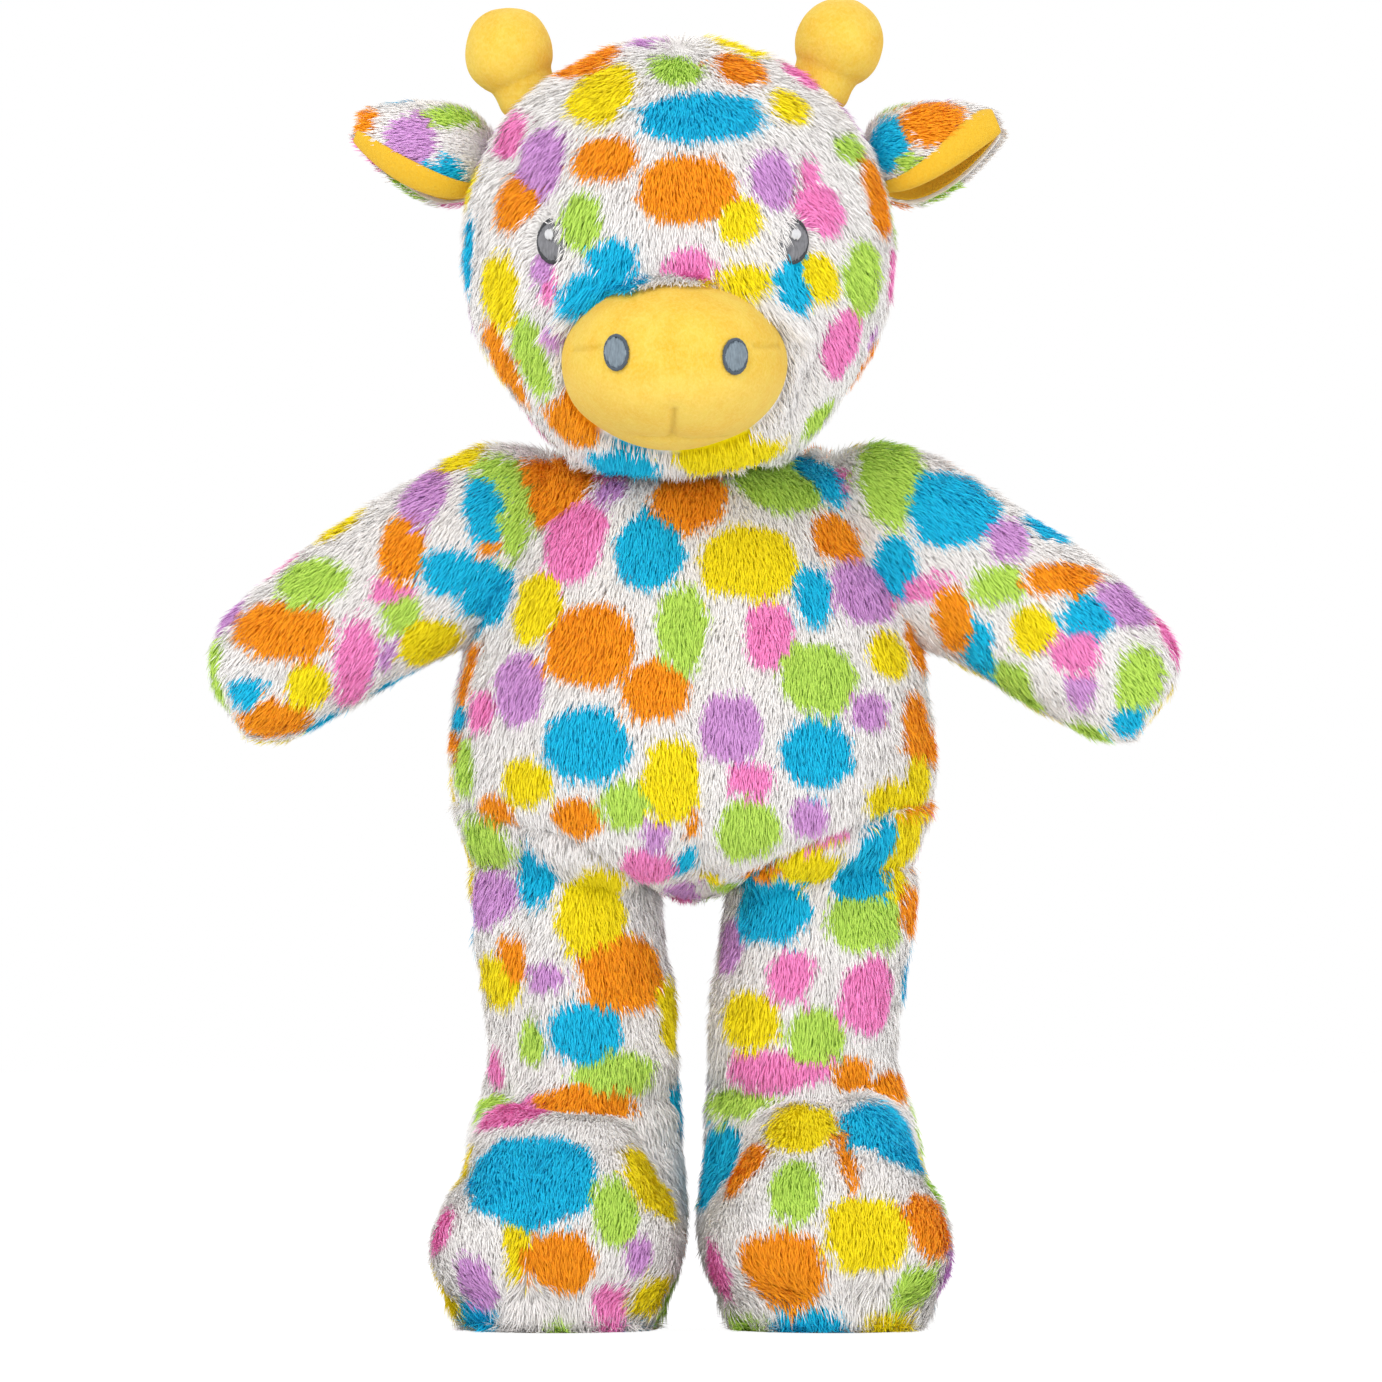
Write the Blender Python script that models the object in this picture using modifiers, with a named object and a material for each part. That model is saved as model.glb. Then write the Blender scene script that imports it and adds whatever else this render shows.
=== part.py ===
"""Plush giraffe, standing upright with its arms held out to the sides.

The toy faces -Y and its own left side is +X. The origin is on the floor, under the middle of its box.
Each stuffed part is a skin of long-pile plush around a core of fibre filling. A limb's root is a dome
that turns in a hollow of the torso, and the hollow is the hull of the root's own travel, grown by a
clearance. The face sits a little towards the toy's right, as it was sewn. All sizes are in metres.
"""

import math

import bmesh
import bpy
from mathutils import Matrix, Vector

# Fabric and clearances
PLUSH_THICKNESS = 0.005  # backing and pile of the spotted plush, pressed together
VELBOA_THICKNESS = 0.0016  # short-pile yellow fabric
SEAT_GAP = 0.0003  # between pieces that lie against each other
ROOM_GAP = 0.0006  # between a moving root and its hollow
CUT_OVERRUN = 0.006  # how far a cutter passes the face that it cuts
MOUTH_RADIUS = 0.012  # hole in a limb's root through which it is filled

# Torso
MIDDLE_Y = 0.0116  # the shoulders' plane, from the middle of the toy's depth
TORSO_BOTTOM_Z = 0.137
TORSO_HEIGHT = 0.152
TORSO_HALF_WIDTH = 0.077
TORSO_HALF_DEPTH = 0.056
TORSO_BACK = 0.004  # the neck's middle, behind the shoulders' plane
BELLY_FORWARD_SHARE = 0.12  # the belly's middle, in front of the neck's

# Head
HEAD_HEIGHT = 0.1475
HEAD_WIDEST_SHARE = 0.529  # of its height, from the chin
CHIN_DROP = 0.022  # below the torso's top
HEAD_HALF_WIDTH = 0.0715
HEAD_HALF_DEPTH = 0.061
HEAD_FORWARD = 0.013  # its middle, in front of the shoulders' plane
CHIN_FORWARD = 0.011  # how far the chin lies in front of the head's middle
HEAD_SHIFT = 0.0045  # towards the toy's right
HEAD_TURN = 15.0  # degrees each way

# Snout
SNOUT_UP_SHARE = 0.2746  # its middle, of the head's height from the chin
SNOUT_HALF_WIDTH = 0.0375
SNOUT_HALF_HEIGHT = 0.0285
SNOUT_REACH = 0.041  # from its middle to its front
SNOUT_FORWARD = 0.062  # its middle, in front of the shoulders' plane
FACE_SHIFT = 0.006  # towards the toy's right

# Embroidery
EYE_X = 0.0405
EYE_UP_SHARE = 0.539  # of the head's height, from the chin
EYE_WIDTH = 0.0110
EYE_HEIGHT = 0.0140
GLINT_WIDTH = 0.0030
GLINT_HEIGHT = 0.0040
GLINT_IN = 0.0012  # from the eye's middle towards the nose
GLINT_UP = 0.0030
NOSTRIL_X = 0.0190
NOSTRIL_UP = 0.0045  # above the snout's middle
NOSTRIL_WIDTH = 0.0078
NOSTRIL_HEIGHT = 0.0115
STITCH_HEIGHT = 0.0012

# Ossicones
OSSICONE_X = 0.0465
OSSICONE_BACK = 0.0070  # behind the head's middle
OSSICONE_LENGTH = 0.0340
OSSICONE_BALL_RADIUS = 0.0147
OSSICONE_STEM_RADIUS = 0.0078
OSSICONE_ROOT_RADIUS = 0.0090
OSSICONE_LEAN = 24.0  # degrees outwards
OSSICONE_SUNK = 0.0036  # root's middle, below the head's surface
OSSICONE_BEND = 10.0  # degrees each way

# Ears
EAR_BACK = 0.016  # behind the head's middle
EAR_UP_SHARE = 0.6915  # of the head's height, from the chin
EAR_LENGTH = 0.0430
EAR_HALF_HEIGHT = 0.0175
EAR_RISE = 22.0  # degrees above level, outwards
EAR_PLUSH_THICKNESS = 0.0032
EAR_FRONT_LIP = 108.0  # degrees from the top, round the front
EAR_BACK_LIP = 152.0  # degrees from the top, round the back
EAR_ROOT_RADIUS = 0.0070
EAR_SUNK = 0.0030
EAR_FLAP = 12.0  # degrees each way

# Arms
SHOULDER_IN = 0.017  # its axis, inside the torso's widest
SHOULDER_DROP = 0.033  # below the torso's top
SHOULDER_RADIUS = 0.0300
ARM_REACH = 0.1090  # from the shoulder's axis to the tip of the paw
ARM_HALF_HEIGHT = 0.0268
ARM_HALF_DEPTH = 0.0250
ARM_DROOP = 30.5  # degrees below level at rest
ARM_LOWER = 12.0
ARM_RAISE = 65.0

# Legs
LEG_GAP = 0.0164  # between the two thighs at the hips
CALF_HALF_WIDTH = 0.0323
HIP_FORWARD = 0.004
HIP_DROP = 0.013  # below the torso's bottom
HIP_RADIUS = 0.0330
ANKLE_Z = 0.074
CREASE_DROP = 0.004  # the fold at the front of the ankle, below it
INSTEP_DROP = 0.007  # top of the foot, below the fold
FEET_GAP = 0.003
FOOT_HALF_WIDTH = 0.0405
FOOT_AHEAD = 0.042  # the toe, in front of the fold
FOOT_SUNK = 0.007  # how far the round foot would reach below the floor if it weren't cut flat
TOE_Z = 0.027
TOE_OUT = 0.004
LEG_FORWARD = 80.0
LEG_BACK = 12.0

# Soles
SOLE_THICKNESS = 0.0028
SOLE_WIDTH_SHARE = 0.76  # of the foot's half width
SOLE_HALF_LENGTH = 0.0400
SOLE_AHEAD = 0.020  # its middle, in front of the shoulders' plane
SOLE_TURN = 7.0  # degrees, toes outwards

# Tail
TAIL_UP = 0.058  # above the torso's bottom
TAIL_RADIUS = 0.0062
TAIL_LENGTH = 0.034
TAIL_SLOPE = 66.0  # degrees below level, backwards
TAIL_SUNK = 0.0022
TUFT_RADIUS = 0.0100
TUFT_LENGTH = 0.026
TUFT_OVERLAP = 0.005  # how far the tuft reaches up around the tail's end

# Roundness
LIMB_SIDES = 8
TRUNK_SIDES = 12
TURNED_STEPS = 12
ROOM_STEPS = 16
PATCH_SIDES = 16
EAR_FOLD_STEPS = 8
MERGE_SHARE = 0.1  # of the seat gap
HEAD_FULLNESS_SHARE = 0.88
SNOUT_FULLNESS_SHARE = 0.72

# Outlines: height from the bottom to the top, half width, half depth and way to the front, as shares
TORSO_SHARES = (
    (0.985, 0.22, 0.28, 0.00),
    (0.925, 0.52, 0.62, 0.00),
    (0.820, 0.78, 0.84, 0.20),
    (0.640, 0.92, 0.93, 0.50),
    (0.420, 1.01, 1.01, 1.00),
    (0.220, 1.03, 1.04, 1.00),
    (0.080, 0.95, 0.92, 0.60),
    (0.012, 0.44, 0.46, 0.20),
)
HEAD_RING_ANGLES = (16, 40, 64, 88, 110, 132, 156)  # degrees from the top to the chin
SNOUT_RING_ANGLES = (35, 75, 105, 130, 155)  # degrees from its back to its front
DOME_RING_ANGLES = (32, 64)  # degrees from a root's pole
# Arm: way along, half height, half depth and how far its middle stands above the straight axis
ARM_SHARES = (
    (0.00, 1.12, 1.00, 0.00),
    (0.22, 1.12, 1.00, 0.00),
    (0.48, 1.03, 0.98, 0.04),
    (0.74, 1.00, 0.96, -0.05),
    (0.92, 0.84, 0.82, -0.13),
    (0.985, 0.48, 0.47, -0.16),
)
ARM_ROOM_RINGS = (1, 2)
# Calf: way down from the hip to the ankle, half width and way inwards
LEG_SHARES = ((0.00, 1.02, 0.00), (0.50, 0.95, 0.18), (0.96, 0.98, 0.17))
LEG_ROOM_SHARE = 1.35  # way down to which the thigh's travel is kept clear
# Heel: angle of the ring about the ankle's fold, its length and half width
HEEL_SHARES = ((24, 1.08, 0.85), (48, 1.50, 0.94))
# Foot: way forward from fold to toe, top's way down from fold to toe, half width
FOOT_SHARES = ((0.02, 0.02, 0.99), (0.34, 0.10, 1.01), (0.66, 0.30, 0.96), (0.89, 0.58, 0.70))
# Ear: way along and half height
EAR_SHARES = ((0.00, 0.34), (0.16, 0.88), (0.38, 1.00), (0.64, 0.84), (0.86, 0.56), (1.00, 0.32))
# Tail and its tuft: way along and radius
TAIL_SHARES = ((0.15, 1.00), (0.55, 0.80), (0.96, 0.74))
TUFT_SHARES = ((0.08, 0.55), (0.36, 1.00), (0.68, 0.92), (0.92, 0.50))

TORSO_TOP_Z = TORSO_BOTTOM_Z + TORSO_HEIGHT
TORSO_Y = MIDDLE_Y + TORSO_BACK
CHIN_Z = TORSO_TOP_Z - CHIN_DROP
HEAD_TOP_Z = CHIN_Z + HEAD_HEIGHT
HEAD_WIDEST_Z = CHIN_Z + HEAD_WIDEST_SHARE * HEAD_HEIGHT
HEAD_Y = MIDDLE_Y - HEAD_FORWARD
SNOUT_Z = CHIN_Z + SNOUT_UP_SHARE * HEAD_HEIGHT
EYE_Z = CHIN_Z + EYE_UP_SHARE * HEAD_HEIGHT
EAR_Z = CHIN_Z + EAR_UP_SHARE * HEAD_HEIGHT
SHOULDER_X = TORSO_HALF_WIDTH - SHOULDER_IN
SHOULDER_Z = TORSO_TOP_Z - SHOULDER_DROP
HIP_Z = TORSO_BOTTOM_Z - HIP_DROP
SNOUT_Y = MIDDLE_Y - SNOUT_FORWARD
HIP_X = CALF_HALF_WIDTH + LEG_GAP / 2
HIP_Y = MIDDLE_Y - HIP_FORWARD
FOOT_X = FOOT_HALF_WIDTH + FEET_GAP / 2
FOLD_Y = HIP_Y - CALF_HALF_WIDTH * LEG_SHARES[-1][1]
FOLD_Z = ANKLE_Z - CREASE_DROP
INSTEP_Z = FOLD_Z - INSTEP_DROP


def clear_scene():
    for thing in list(bpy.data.objects):
        bpy.data.objects.remove(thing)


def new_collection(name):
    made = bpy.data.collections.new(name)
    bpy.context.scene.collection.children.link(made)
    return made


def fabric(name, colour, roughness):
    made = bpy.data.materials.new(name)
    made.use_nodes = True
    shader = made.node_tree.nodes["Principled BSDF"]
    shader.inputs["Base Color"].default_value = (*colour, 1.0)
    shader.inputs["Roughness"].default_value = roughness
    shader.inputs["Metallic"].default_value = 0.0
    return made


clear_scene()
TOY = new_collection("plush_giraffe")
CUTTERS = new_collection("cutters")
PLUSH = fabric("spotted_plush", (0.86, 0.84, 0.80), 0.95)
VELBOA = fabric("yellow_velboa", (0.90, 0.66, 0.10), 0.85)
FILLING = fabric("fibre_filling", (0.92, 0.92, 0.90), 1.0)
THREAD = fabric("grey_thread", (0.17, 0.19, 0.21), 0.5)
NOSTRIL_THREAD = fabric("blue_grey_thread", (0.24, 0.29, 0.34), 0.5)
WHITE_THREAD = fabric("white_thread", (0.95, 0.95, 0.95), 0.4)


def put(name, mesh, material=None):
    """A new object of the toy, or a cutter where it has no material."""
    made = bpy.data.objects.new(name, mesh)
    if material:
        TOY.objects.link(made)
        mesh.materials.append(material)
    else:
        CUTTERS.objects.link(made)
        made.hide_render = True
        made.display_type = "WIRE"
    return made


def finish_mesh(work, name):
    bmesh.ops.recalc_face_normals(work, faces=work.faces)
    mesh = bpy.data.meshes.new(name)
    work.to_mesh(mesh)
    work.free()
    mesh.shade_smooth()
    return mesh


def ring_shrink(sides):
    """How much smaller a cage's smoothed ring is than the cage."""
    return (2 + math.cos(2 * math.pi / sides)) / 3


def ring_points(ring, sides):
    middle, across, deep = ring
    turns = [2 * math.pi * i / sides for i in range(sides)]
    return [middle + (across * math.cos(t) + deep * math.sin(t)) / ring_shrink(sides) for t in turns]


def loft(name, start, rings, end, sides):
    """A closed cage between two poles. Each ring is its middle and two half axes, once smoothed."""
    work = bmesh.new()
    loops = [[work.verts.new(p) for p in ring_points(ring, sides)] for ring in rings]
    for low, high in zip(loops, loops[1:]):
        for i in range(sides):
            j = (i + 1) % sides
            work.faces.new((low[i], low[j], high[j], high[i]))
    for pole, loop in ((start, loops[0]), (end, loops[-1])):
        tip = work.verts.new(pole)
        for i in range(sides):
            work.faces.new((tip, loop[i], loop[(i + 1) % sides]))
    return finish_mesh(work, name)


def smoothed(thing):
    modifier = thing.modifiers.new("round", "SUBSURF")
    modifier.levels = 1
    modifier.render_levels = 1
    return thing


def surface_points(thing):
    graph = bpy.context.evaluated_depsgraph_get()
    ready = thing.evaluated_get(graph)
    points = [v.co.copy() for v in ready.to_mesh().vertices]
    ready.to_mesh_clear()
    return points


def surface_at(thing, start, way):
    """Where a line from start first meets the form, and the surface's normal there."""
    graph = bpy.context.evaluated_depsgraph_get()
    found, place, normal, _ = thing.evaluated_get(graph).ray_cast(start, way)
    return (place, normal) if found else (start, -way)


def offset_copy(source, name, by, material=None, coarse=False):
    """The same form moved by this much along its normals. A coarse copy runs through the cage's points."""
    mesh = source.data.copy()
    mesh.materials.clear()
    if coarse:
        for own, smooth in zip(mesh.vertices, surface_points(source)):
            own.co = smooth
    made = put(name, mesh, material)
    made.matrix_world = source.matrix_world
    if source.modifiers and not coarse:
        smoothed(made)
    # The same diagonals in every copy keep their faces parallel
    split = made.modifiers.new("triangles", "TRIANGULATE")
    split.quad_method = "FIXED"
    move = made.modifiers.new("offset", "DISPLACE")
    move.strength = by
    move.mid_level = 0.0
    return made


def combine(target, other, operation="DIFFERENCE"):
    modifier = target.modifiers.new(other.name, "BOOLEAN")
    modifier.operation = operation
    modifier.solver = "EXACT"
    modifier.object = other


def hull(name, points):
    """A convex cutter around these points."""
    work = bmesh.new()
    for p in points:
        work.verts.new(p)
    done = bmesh.ops.convex_hull(work, input=work.verts)
    inner = {g for g in done["geom_interior"] + done["geom_unused"] if isinstance(g, bmesh.types.BMVert)}
    bmesh.ops.delete(work, geom=list(inner), context="VERTS")
    return put(name, finish_mesh(work, name))


def clear_of(radius, steps):
    """Radius of a faceted ball whose faces all stay the room's gap outside this radius."""
    return (radius + ROOM_GAP) / math.cos(math.pi / steps) ** 2


def stood_along(way, place):
    """The transform that takes +Z to this way and the origin to this place."""
    return Matrix.Translation(place) @ way.to_track_quat("Z", "Y").to_matrix().to_4x4()


def rod_cutter(name, start, end, radius):
    way = end - start
    work = bmesh.new()
    bmesh.ops.create_cone(
        work, cap_ends=True, segments=PATCH_SIDES, radius1=radius, radius2=radius, depth=way.length
    )
    made = put(name, finish_mesh(work, name))
    made.matrix_world = stood_along(way, (start + end) / 2)
    return made


def turning_room(name, form, pivot, way, axis, rings, turns):
    """Hull of a root's travel: its own round end turned about the axis, and its rings at each turn."""
    points = []
    for p in surface_points(form):
        out = form.matrix_world @ p - pivot
        if out.dot(way) < CUT_OVERRUN:
            along = axis * out.dot(axis)
            out = out - along
            along = along + along.normalized() * SEAT_GAP
            size = (out.length + SEAT_GAP) / math.cos(math.pi / ROOM_STEPS)
            for i in range(ROOM_STEPS):
                turn = Matrix.Rotation(2 * math.pi * i / ROOM_STEPS, 3, axis)
                points.append(pivot + along + turn @ way * size)
    for degrees in turns:
        turn = Matrix.Rotation(math.radians(degrees), 3, axis)
        for ring in rings:
            points += [pivot + turn @ (p - pivot) for p in ring_points(ring, LIMB_SIDES)]
    return hull(name, points)


def hang(name, place, pieces):
    """An empty on a joint's axis, which carries what turns about it."""
    joint = bpy.data.objects.new(name, None)
    TOY.objects.link(joint)
    joint.matrix_world = Matrix.Translation(place)
    for piece in pieces:
        piece.parent = joint
        piece.matrix_parent_inverse = Matrix.Translation(-place)
    return joint


def ball_room(name, centre, way, axis, ring, turns):
    """Hull of a ball root and of one ring of its stem at each turn."""
    size = (OSSICONE_ROOT_RADIUS + SEAT_GAP) / math.cos(math.pi / TURNED_STEPS) ** 2
    side = way.cross(axis)
    points = [centre + way * size, centre - way * size]
    for row in range(1, TURNED_STEPS // 2):
        down = 2 * math.pi * row / TURNED_STEPS
        for i in range(TURNED_STEPS):
            # Half a step round, so that the root's corners meet the room's faces
            around = 2 * math.pi * (i + 0.5) / TURNED_STEPS
            out = (axis * math.cos(around) + side * math.sin(around)) * math.sin(down)
            points.append(centre + (way * math.cos(down) + out) * size)
    for degrees in turns:
        turn = Matrix.Rotation(math.radians(degrees), 3, axis)
        points += [centre + turn @ (p - centre) for p in ring_points(ring, LIMB_SIDES)]
    return hull(name, points)


def stuffed(form, core_name, thickness, mouth=None, coarse=True):
    """Turns a closed form into a hollow skin, and makes its filling."""
    core = offset_copy(form, core_name, -thickness - SEAT_GAP, FILLING, coarse)
    hollow = offset_copy(form, form.name + "_hollow", -thickness, coarse=coarse)
    combine(form, hollow)
    if mouth:
        combine(form, mouth)
    return core


def torso_form():
    rings = []
    for up, width, depth, forward in TORSO_SHARES:
        y = TORSO_Y - forward * BELLY_FORWARD_SHARE * TORSO_HALF_DEPTH
        middle = Vector((0, y, TORSO_BOTTOM_Z + up * TORSO_HEIGHT))
        across = Vector((width * TORSO_HALF_WIDTH, 0, 0))
        rings.append((middle, across, Vector((0, depth * TORSO_HALF_DEPTH, 0))))
    top = Vector((0, TORSO_Y, TORSO_TOP_Z))
    bottom = Vector((0, TORSO_Y, TORSO_BOTTOM_Z))
    return smoothed(put("body_skin", loft("torso", top, rings, bottom, TRUNK_SIDES), PLUSH))


def head_form():
    rings = []
    for angle in HEAD_RING_ANGLES:
        turn = math.radians(angle)
        half = HEAD_TOP_Z - HEAD_WIDEST_Z if angle <= 90 else HEAD_WIDEST_Z - CHIN_Z
        forward = CHIN_FORWARD * max(0.0, -math.cos(turn))
        size = math.sin(turn) ** HEAD_FULLNESS_SHARE
        middle = Vector((-HEAD_SHIFT, HEAD_Y - forward, HEAD_WIDEST_Z + half * math.cos(turn)))
        across = Vector((size * HEAD_HALF_WIDTH, 0, 0))
        rings.append((middle, across, Vector((0, size * HEAD_HALF_DEPTH, 0))))
    top = Vector((-HEAD_SHIFT, HEAD_Y, HEAD_TOP_Z))
    chin = Vector((-HEAD_SHIFT, HEAD_Y - CHIN_FORWARD, CHIN_Z))
    return smoothed(put("head_skin", loft("head", top, rings, chin, TRUNK_SIDES), PLUSH))


def neck_room():
    """Everything that the torso's top passes through as the head turns above it."""
    points = [Vector((0, TORSO_Y, TORSO_TOP_Z + ROOM_GAP))]
    for up, width, depth, forward in TORSO_SHARES:
        z = TORSO_BOTTOM_Z + up * TORSO_HEIGHT
        lean = forward * BELLY_FORWARD_SHARE * TORSO_HALF_DEPTH
        radius = clear_of(max(width * TORSO_HALF_WIDTH, depth * TORSO_HALF_DEPTH + lean), ROOM_STEPS)
        if z > SHOULDER_Z:
            middle = Vector((0, TORSO_Y, z + ROOM_GAP))
            for i in range(ROOM_STEPS):
                turn = 2 * math.pi * i / ROOM_STEPS
                points.append(middle + Vector((math.cos(turn), math.sin(turn), 0)) * radius)
    return hull("neck_room", points)


def snout_form():
    rings = []
    for angle in SNOUT_RING_ANGLES:
        turn = math.radians(angle)
        size = math.sin(turn) ** SNOUT_FULLNESS_SHARE
        middle = Vector((-FACE_SHIFT, SNOUT_Y + SNOUT_REACH * math.cos(turn), SNOUT_Z))
        across = Vector((size * SNOUT_HALF_WIDTH, 0, 0))
        rings.append((middle, across, Vector((0, 0, size * SNOUT_HALF_HEIGHT))))
    back = Vector((-FACE_SHIFT, SNOUT_Y + SNOUT_REACH, SNOUT_Z))
    front = Vector((-FACE_SHIFT, SNOUT_Y - SNOUT_REACH, SNOUT_Z))
    return smoothed(put("snout_skin", loft("snout", back, rings, front, LIMB_SIDES), VELBOA))


def dome_rings(pivot, way, across, deep, radius, half_depth):
    """Rings of a limb's root, from near its pole to its widest."""
    rings = []
    for angle in DOME_RING_ANGLES:
        turn = math.radians(angle)
        middle = pivot - way * radius * math.cos(turn)
        rings.append((middle, across * radius * math.sin(turn), deep * half_depth * math.sin(turn)))
    return rings


def build_arm(side, side_name):
    """A stuffed arm, and the room that its root turns in."""
    pivot = Vector((side * SHOULDER_X, MIDDLE_Y, SHOULDER_Z))
    droop = math.radians(ARM_DROOP)
    way = Vector((side * math.cos(droop), 0, -math.sin(droop)))
    deep = Vector((0, 1, 0))
    across = way.cross(deep)
    length = []
    for along, height, depth, above in ARM_SHARES:
        rise = across * side * above * ARM_HALF_HEIGHT
        middle = pivot + way * along * ARM_REACH + rise
        length.append((middle, across * height * ARM_HALF_HEIGHT, deep * depth * ARM_HALF_DEPTH))
    rings = dome_rings(pivot, way, across, deep, SHOULDER_RADIUS, ARM_HALF_DEPTH) + length
    name = f"arm_{side_name}"
    mesh = loft(name, pivot - way * SHOULDER_RADIUS, rings, pivot + way * ARM_REACH + rise, LIMB_SIDES)
    arm = smoothed(put(name, mesh, PLUSH))
    bpy.context.view_layer.update()
    # A positive turn about +Y lowers the arm on the +X side
    turns = [-side * turn for turn in (-ARM_LOWER, 0, ARM_RAISE / 2, ARM_RAISE)]
    kept = [length[i] for i in ARM_ROOM_RINGS]
    room = turning_room(name + "_room", arm, pivot, way, deep, kept, turns)
    pole = pivot - way * SHOULDER_RADIUS
    mouth = rod_cutter(name + "_mouth", pole - way * CUT_OVERRUN, (pole + pivot) / 2, MOUTH_RADIUS)
    core = stuffed(arm, f"arm_stuffing_{side_name}", PLUSH_THICKNESS, mouth)
    hang(f"shoulder_{side_name}", pivot, (arm, core))
    return room


def build_leg(side, side_name):
    """Thigh, calf, heel and foot as one stuffed sock, folded at the front of the ankle, and its room."""
    pivot = Vector((side * HIP_X, HIP_Y, HIP_Z))
    across, deep, down = Vector((1, 0, 0)), Vector((0, 1, 0)), Vector((0, 0, -1))
    rings = dome_rings(pivot, down, across, deep, HIP_RADIUS, HIP_RADIUS)
    for fall, width, inward in LEG_SHARES:
        half = width * CALF_HALF_WIDTH
        shift = across * -side * inward * CALF_HALF_WIDTH
        rings.append((pivot + down * fall * (HIP_Z - ANKLE_Z) + shift, across * half, deep * half))
    fold = Vector((pivot.x + shift.x, FOLD_Y, FOLD_Z))
    foot_shift = side * FOOT_X - fold.x
    for angle, length, width in HEEL_SHARES:
        turn = math.radians(angle)
        reach = Vector((0, math.cos(turn), -math.sin(turn))) * length * CALF_HALF_WIDTH
        middle = fold + reach + across * foot_shift * angle / 90
        rings.append((middle, across * width * FOOT_HALF_WIDTH, reach))
    for along, fall, width in FOOT_SHARES:
        top = INSTEP_Z + fall * (TOE_Z - INSTEP_Z)
        bottom = along**4 * (TOE_Z + FOOT_SUNK) - FOOT_SUNK
        x = side * (FOOT_X + along * TOE_OUT)
        middle = Vector((x, FOLD_Y - along * FOOT_AHEAD, (top + bottom) / 2))
        rings.append((middle, across * width * FOOT_HALF_WIDTH, Vector((0, 0, (bottom - top) / 2))))
    toe = Vector((side * (FOOT_X + TOE_OUT), FOLD_Y - FOOT_AHEAD, TOE_Z))
    name = f"leg_{side_name}"
    leg = smoothed(put(name, loft(name, pivot - down * HIP_RADIUS, rings, toe, LIMB_SIDES), PLUSH))
    bpy.context.view_layer.update()
    # The ring holds the thigh where it stands out and where it leans inwards
    half = across * (CALF_HALF_WIDTH + shift.length / 2)
    kept = (pivot + down * LEG_ROOM_SHARE * (HIP_Z - ANKLE_Z) + shift / 2, half, deep * CALF_HALF_WIDTH)
    turns = (-LEG_FORWARD, -LEG_FORWARD / 2, 0, LEG_BACK)
    room = turning_room(name + "_room", leg, pivot, down, across, [kept], turns)
    pole = pivot - down * HIP_RADIUS
    mouth = rod_cutter(name + "_mouth", pole - down * CUT_OVERRUN, (pole + pivot) / 2, MOUTH_RADIUS)
    core = stuffed(leg, f"leg_stuffing_{side_name}", PLUSH_THICKNESS, mouth, coarse=False)
    floor = floor_cutter(name + "_floor", SOLE_THICKNESS + SEAT_GAP)
    combine(leg, floor)
    combine(core, floor_cutter(name + "_floor_inside", SOLE_THICKNESS + PLUSH_THICKNESS + 2 * SEAT_GAP))
    hang(f"hip_{side_name}", pivot, (leg, core, sole(f"sole_{side_name}", side)))
    return room


def floor_cutter(name, top):
    """Everything below this height."""
    work = bmesh.new()
    bmesh.ops.create_cube(work, size=1.0)
    side = 4 * (FOOT_X + FOOT_HALF_WIDTH)
    height = 2 * (SOLE_THICKNESS + CUT_OVERRUN)
    place = Matrix.Translation((0, 0, top - height / 2)) @ Matrix.Diagonal((side, side, height, 1))
    bmesh.ops.transform(work, matrix=place, verts=work.verts)
    return put(name, finish_mesh(work, name))


def sole(name, side):
    """A flat oval pad under a foot."""
    outline = bpy.data.curves.new(name, "CURVE")
    outline.dimensions = "2D"
    outline.fill_mode = "BOTH"
    outline.extrude = SOLE_THICKNESS / 2
    ring = outline.splines.new("POLY")
    corners = 2 * PATCH_SIDES
    ring.points.add(corners - 1)
    turn = math.radians(side * SOLE_TURN)
    for i, point in enumerate(ring.points):
        t = 2 * math.pi * i / corners
        oval = Vector((SOLE_WIDTH_SHARE * FOOT_HALF_WIDTH * math.cos(t), SOLE_HALF_LENGTH * math.sin(t), 0))
        point.co = (*(Matrix.Rotation(turn, 3, "Z") @ oval), 1)
    ring.use_cyclic_u = True
    outline.materials.append(VELBOA)
    made = bpy.data.objects.new(name, outline)
    TOY.objects.link(made)
    made.location = (side * FOOT_X, MIDDLE_Y - SOLE_AHEAD, SOLE_THICKNESS / 2)
    return made


def patch(name, ground, size, centre_x, centre_z, material, low):
    """An embroidered oval on a form's front, this far above its surface."""
    width, height = size
    start = Vector((centre_x, SNOUT_Y - 2 * SNOUT_REACH, centre_z))
    place, normal = surface_at(ground, start, Vector((0, 1, 0)))
    work = bmesh.new()
    bmesh.ops.create_cone(work, cap_ends=True, segments=PATCH_SIDES, radius1=1, radius2=1, depth=2)
    oval = Matrix.Diagonal((width / 2, height / 2, CUT_OVERRUN, 1))
    bmesh.ops.transform(work, matrix=oval, verts=work.verts)
    made = put(name, finish_mesh(work, name), material)
    up = (Vector((0, 0, 1)) - normal * normal.z).normalized()
    faced = Matrix((up.cross(normal), up, normal)).transposed().to_4x4()
    made.matrix_world = Matrix.Translation(place) @ faced
    combine(made, offset_copy(ground, name + "_face", low + STITCH_HEIGHT), "INTERSECT")
    combine(made, offset_copy(ground, name + "_seat", low))
    return made


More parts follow.
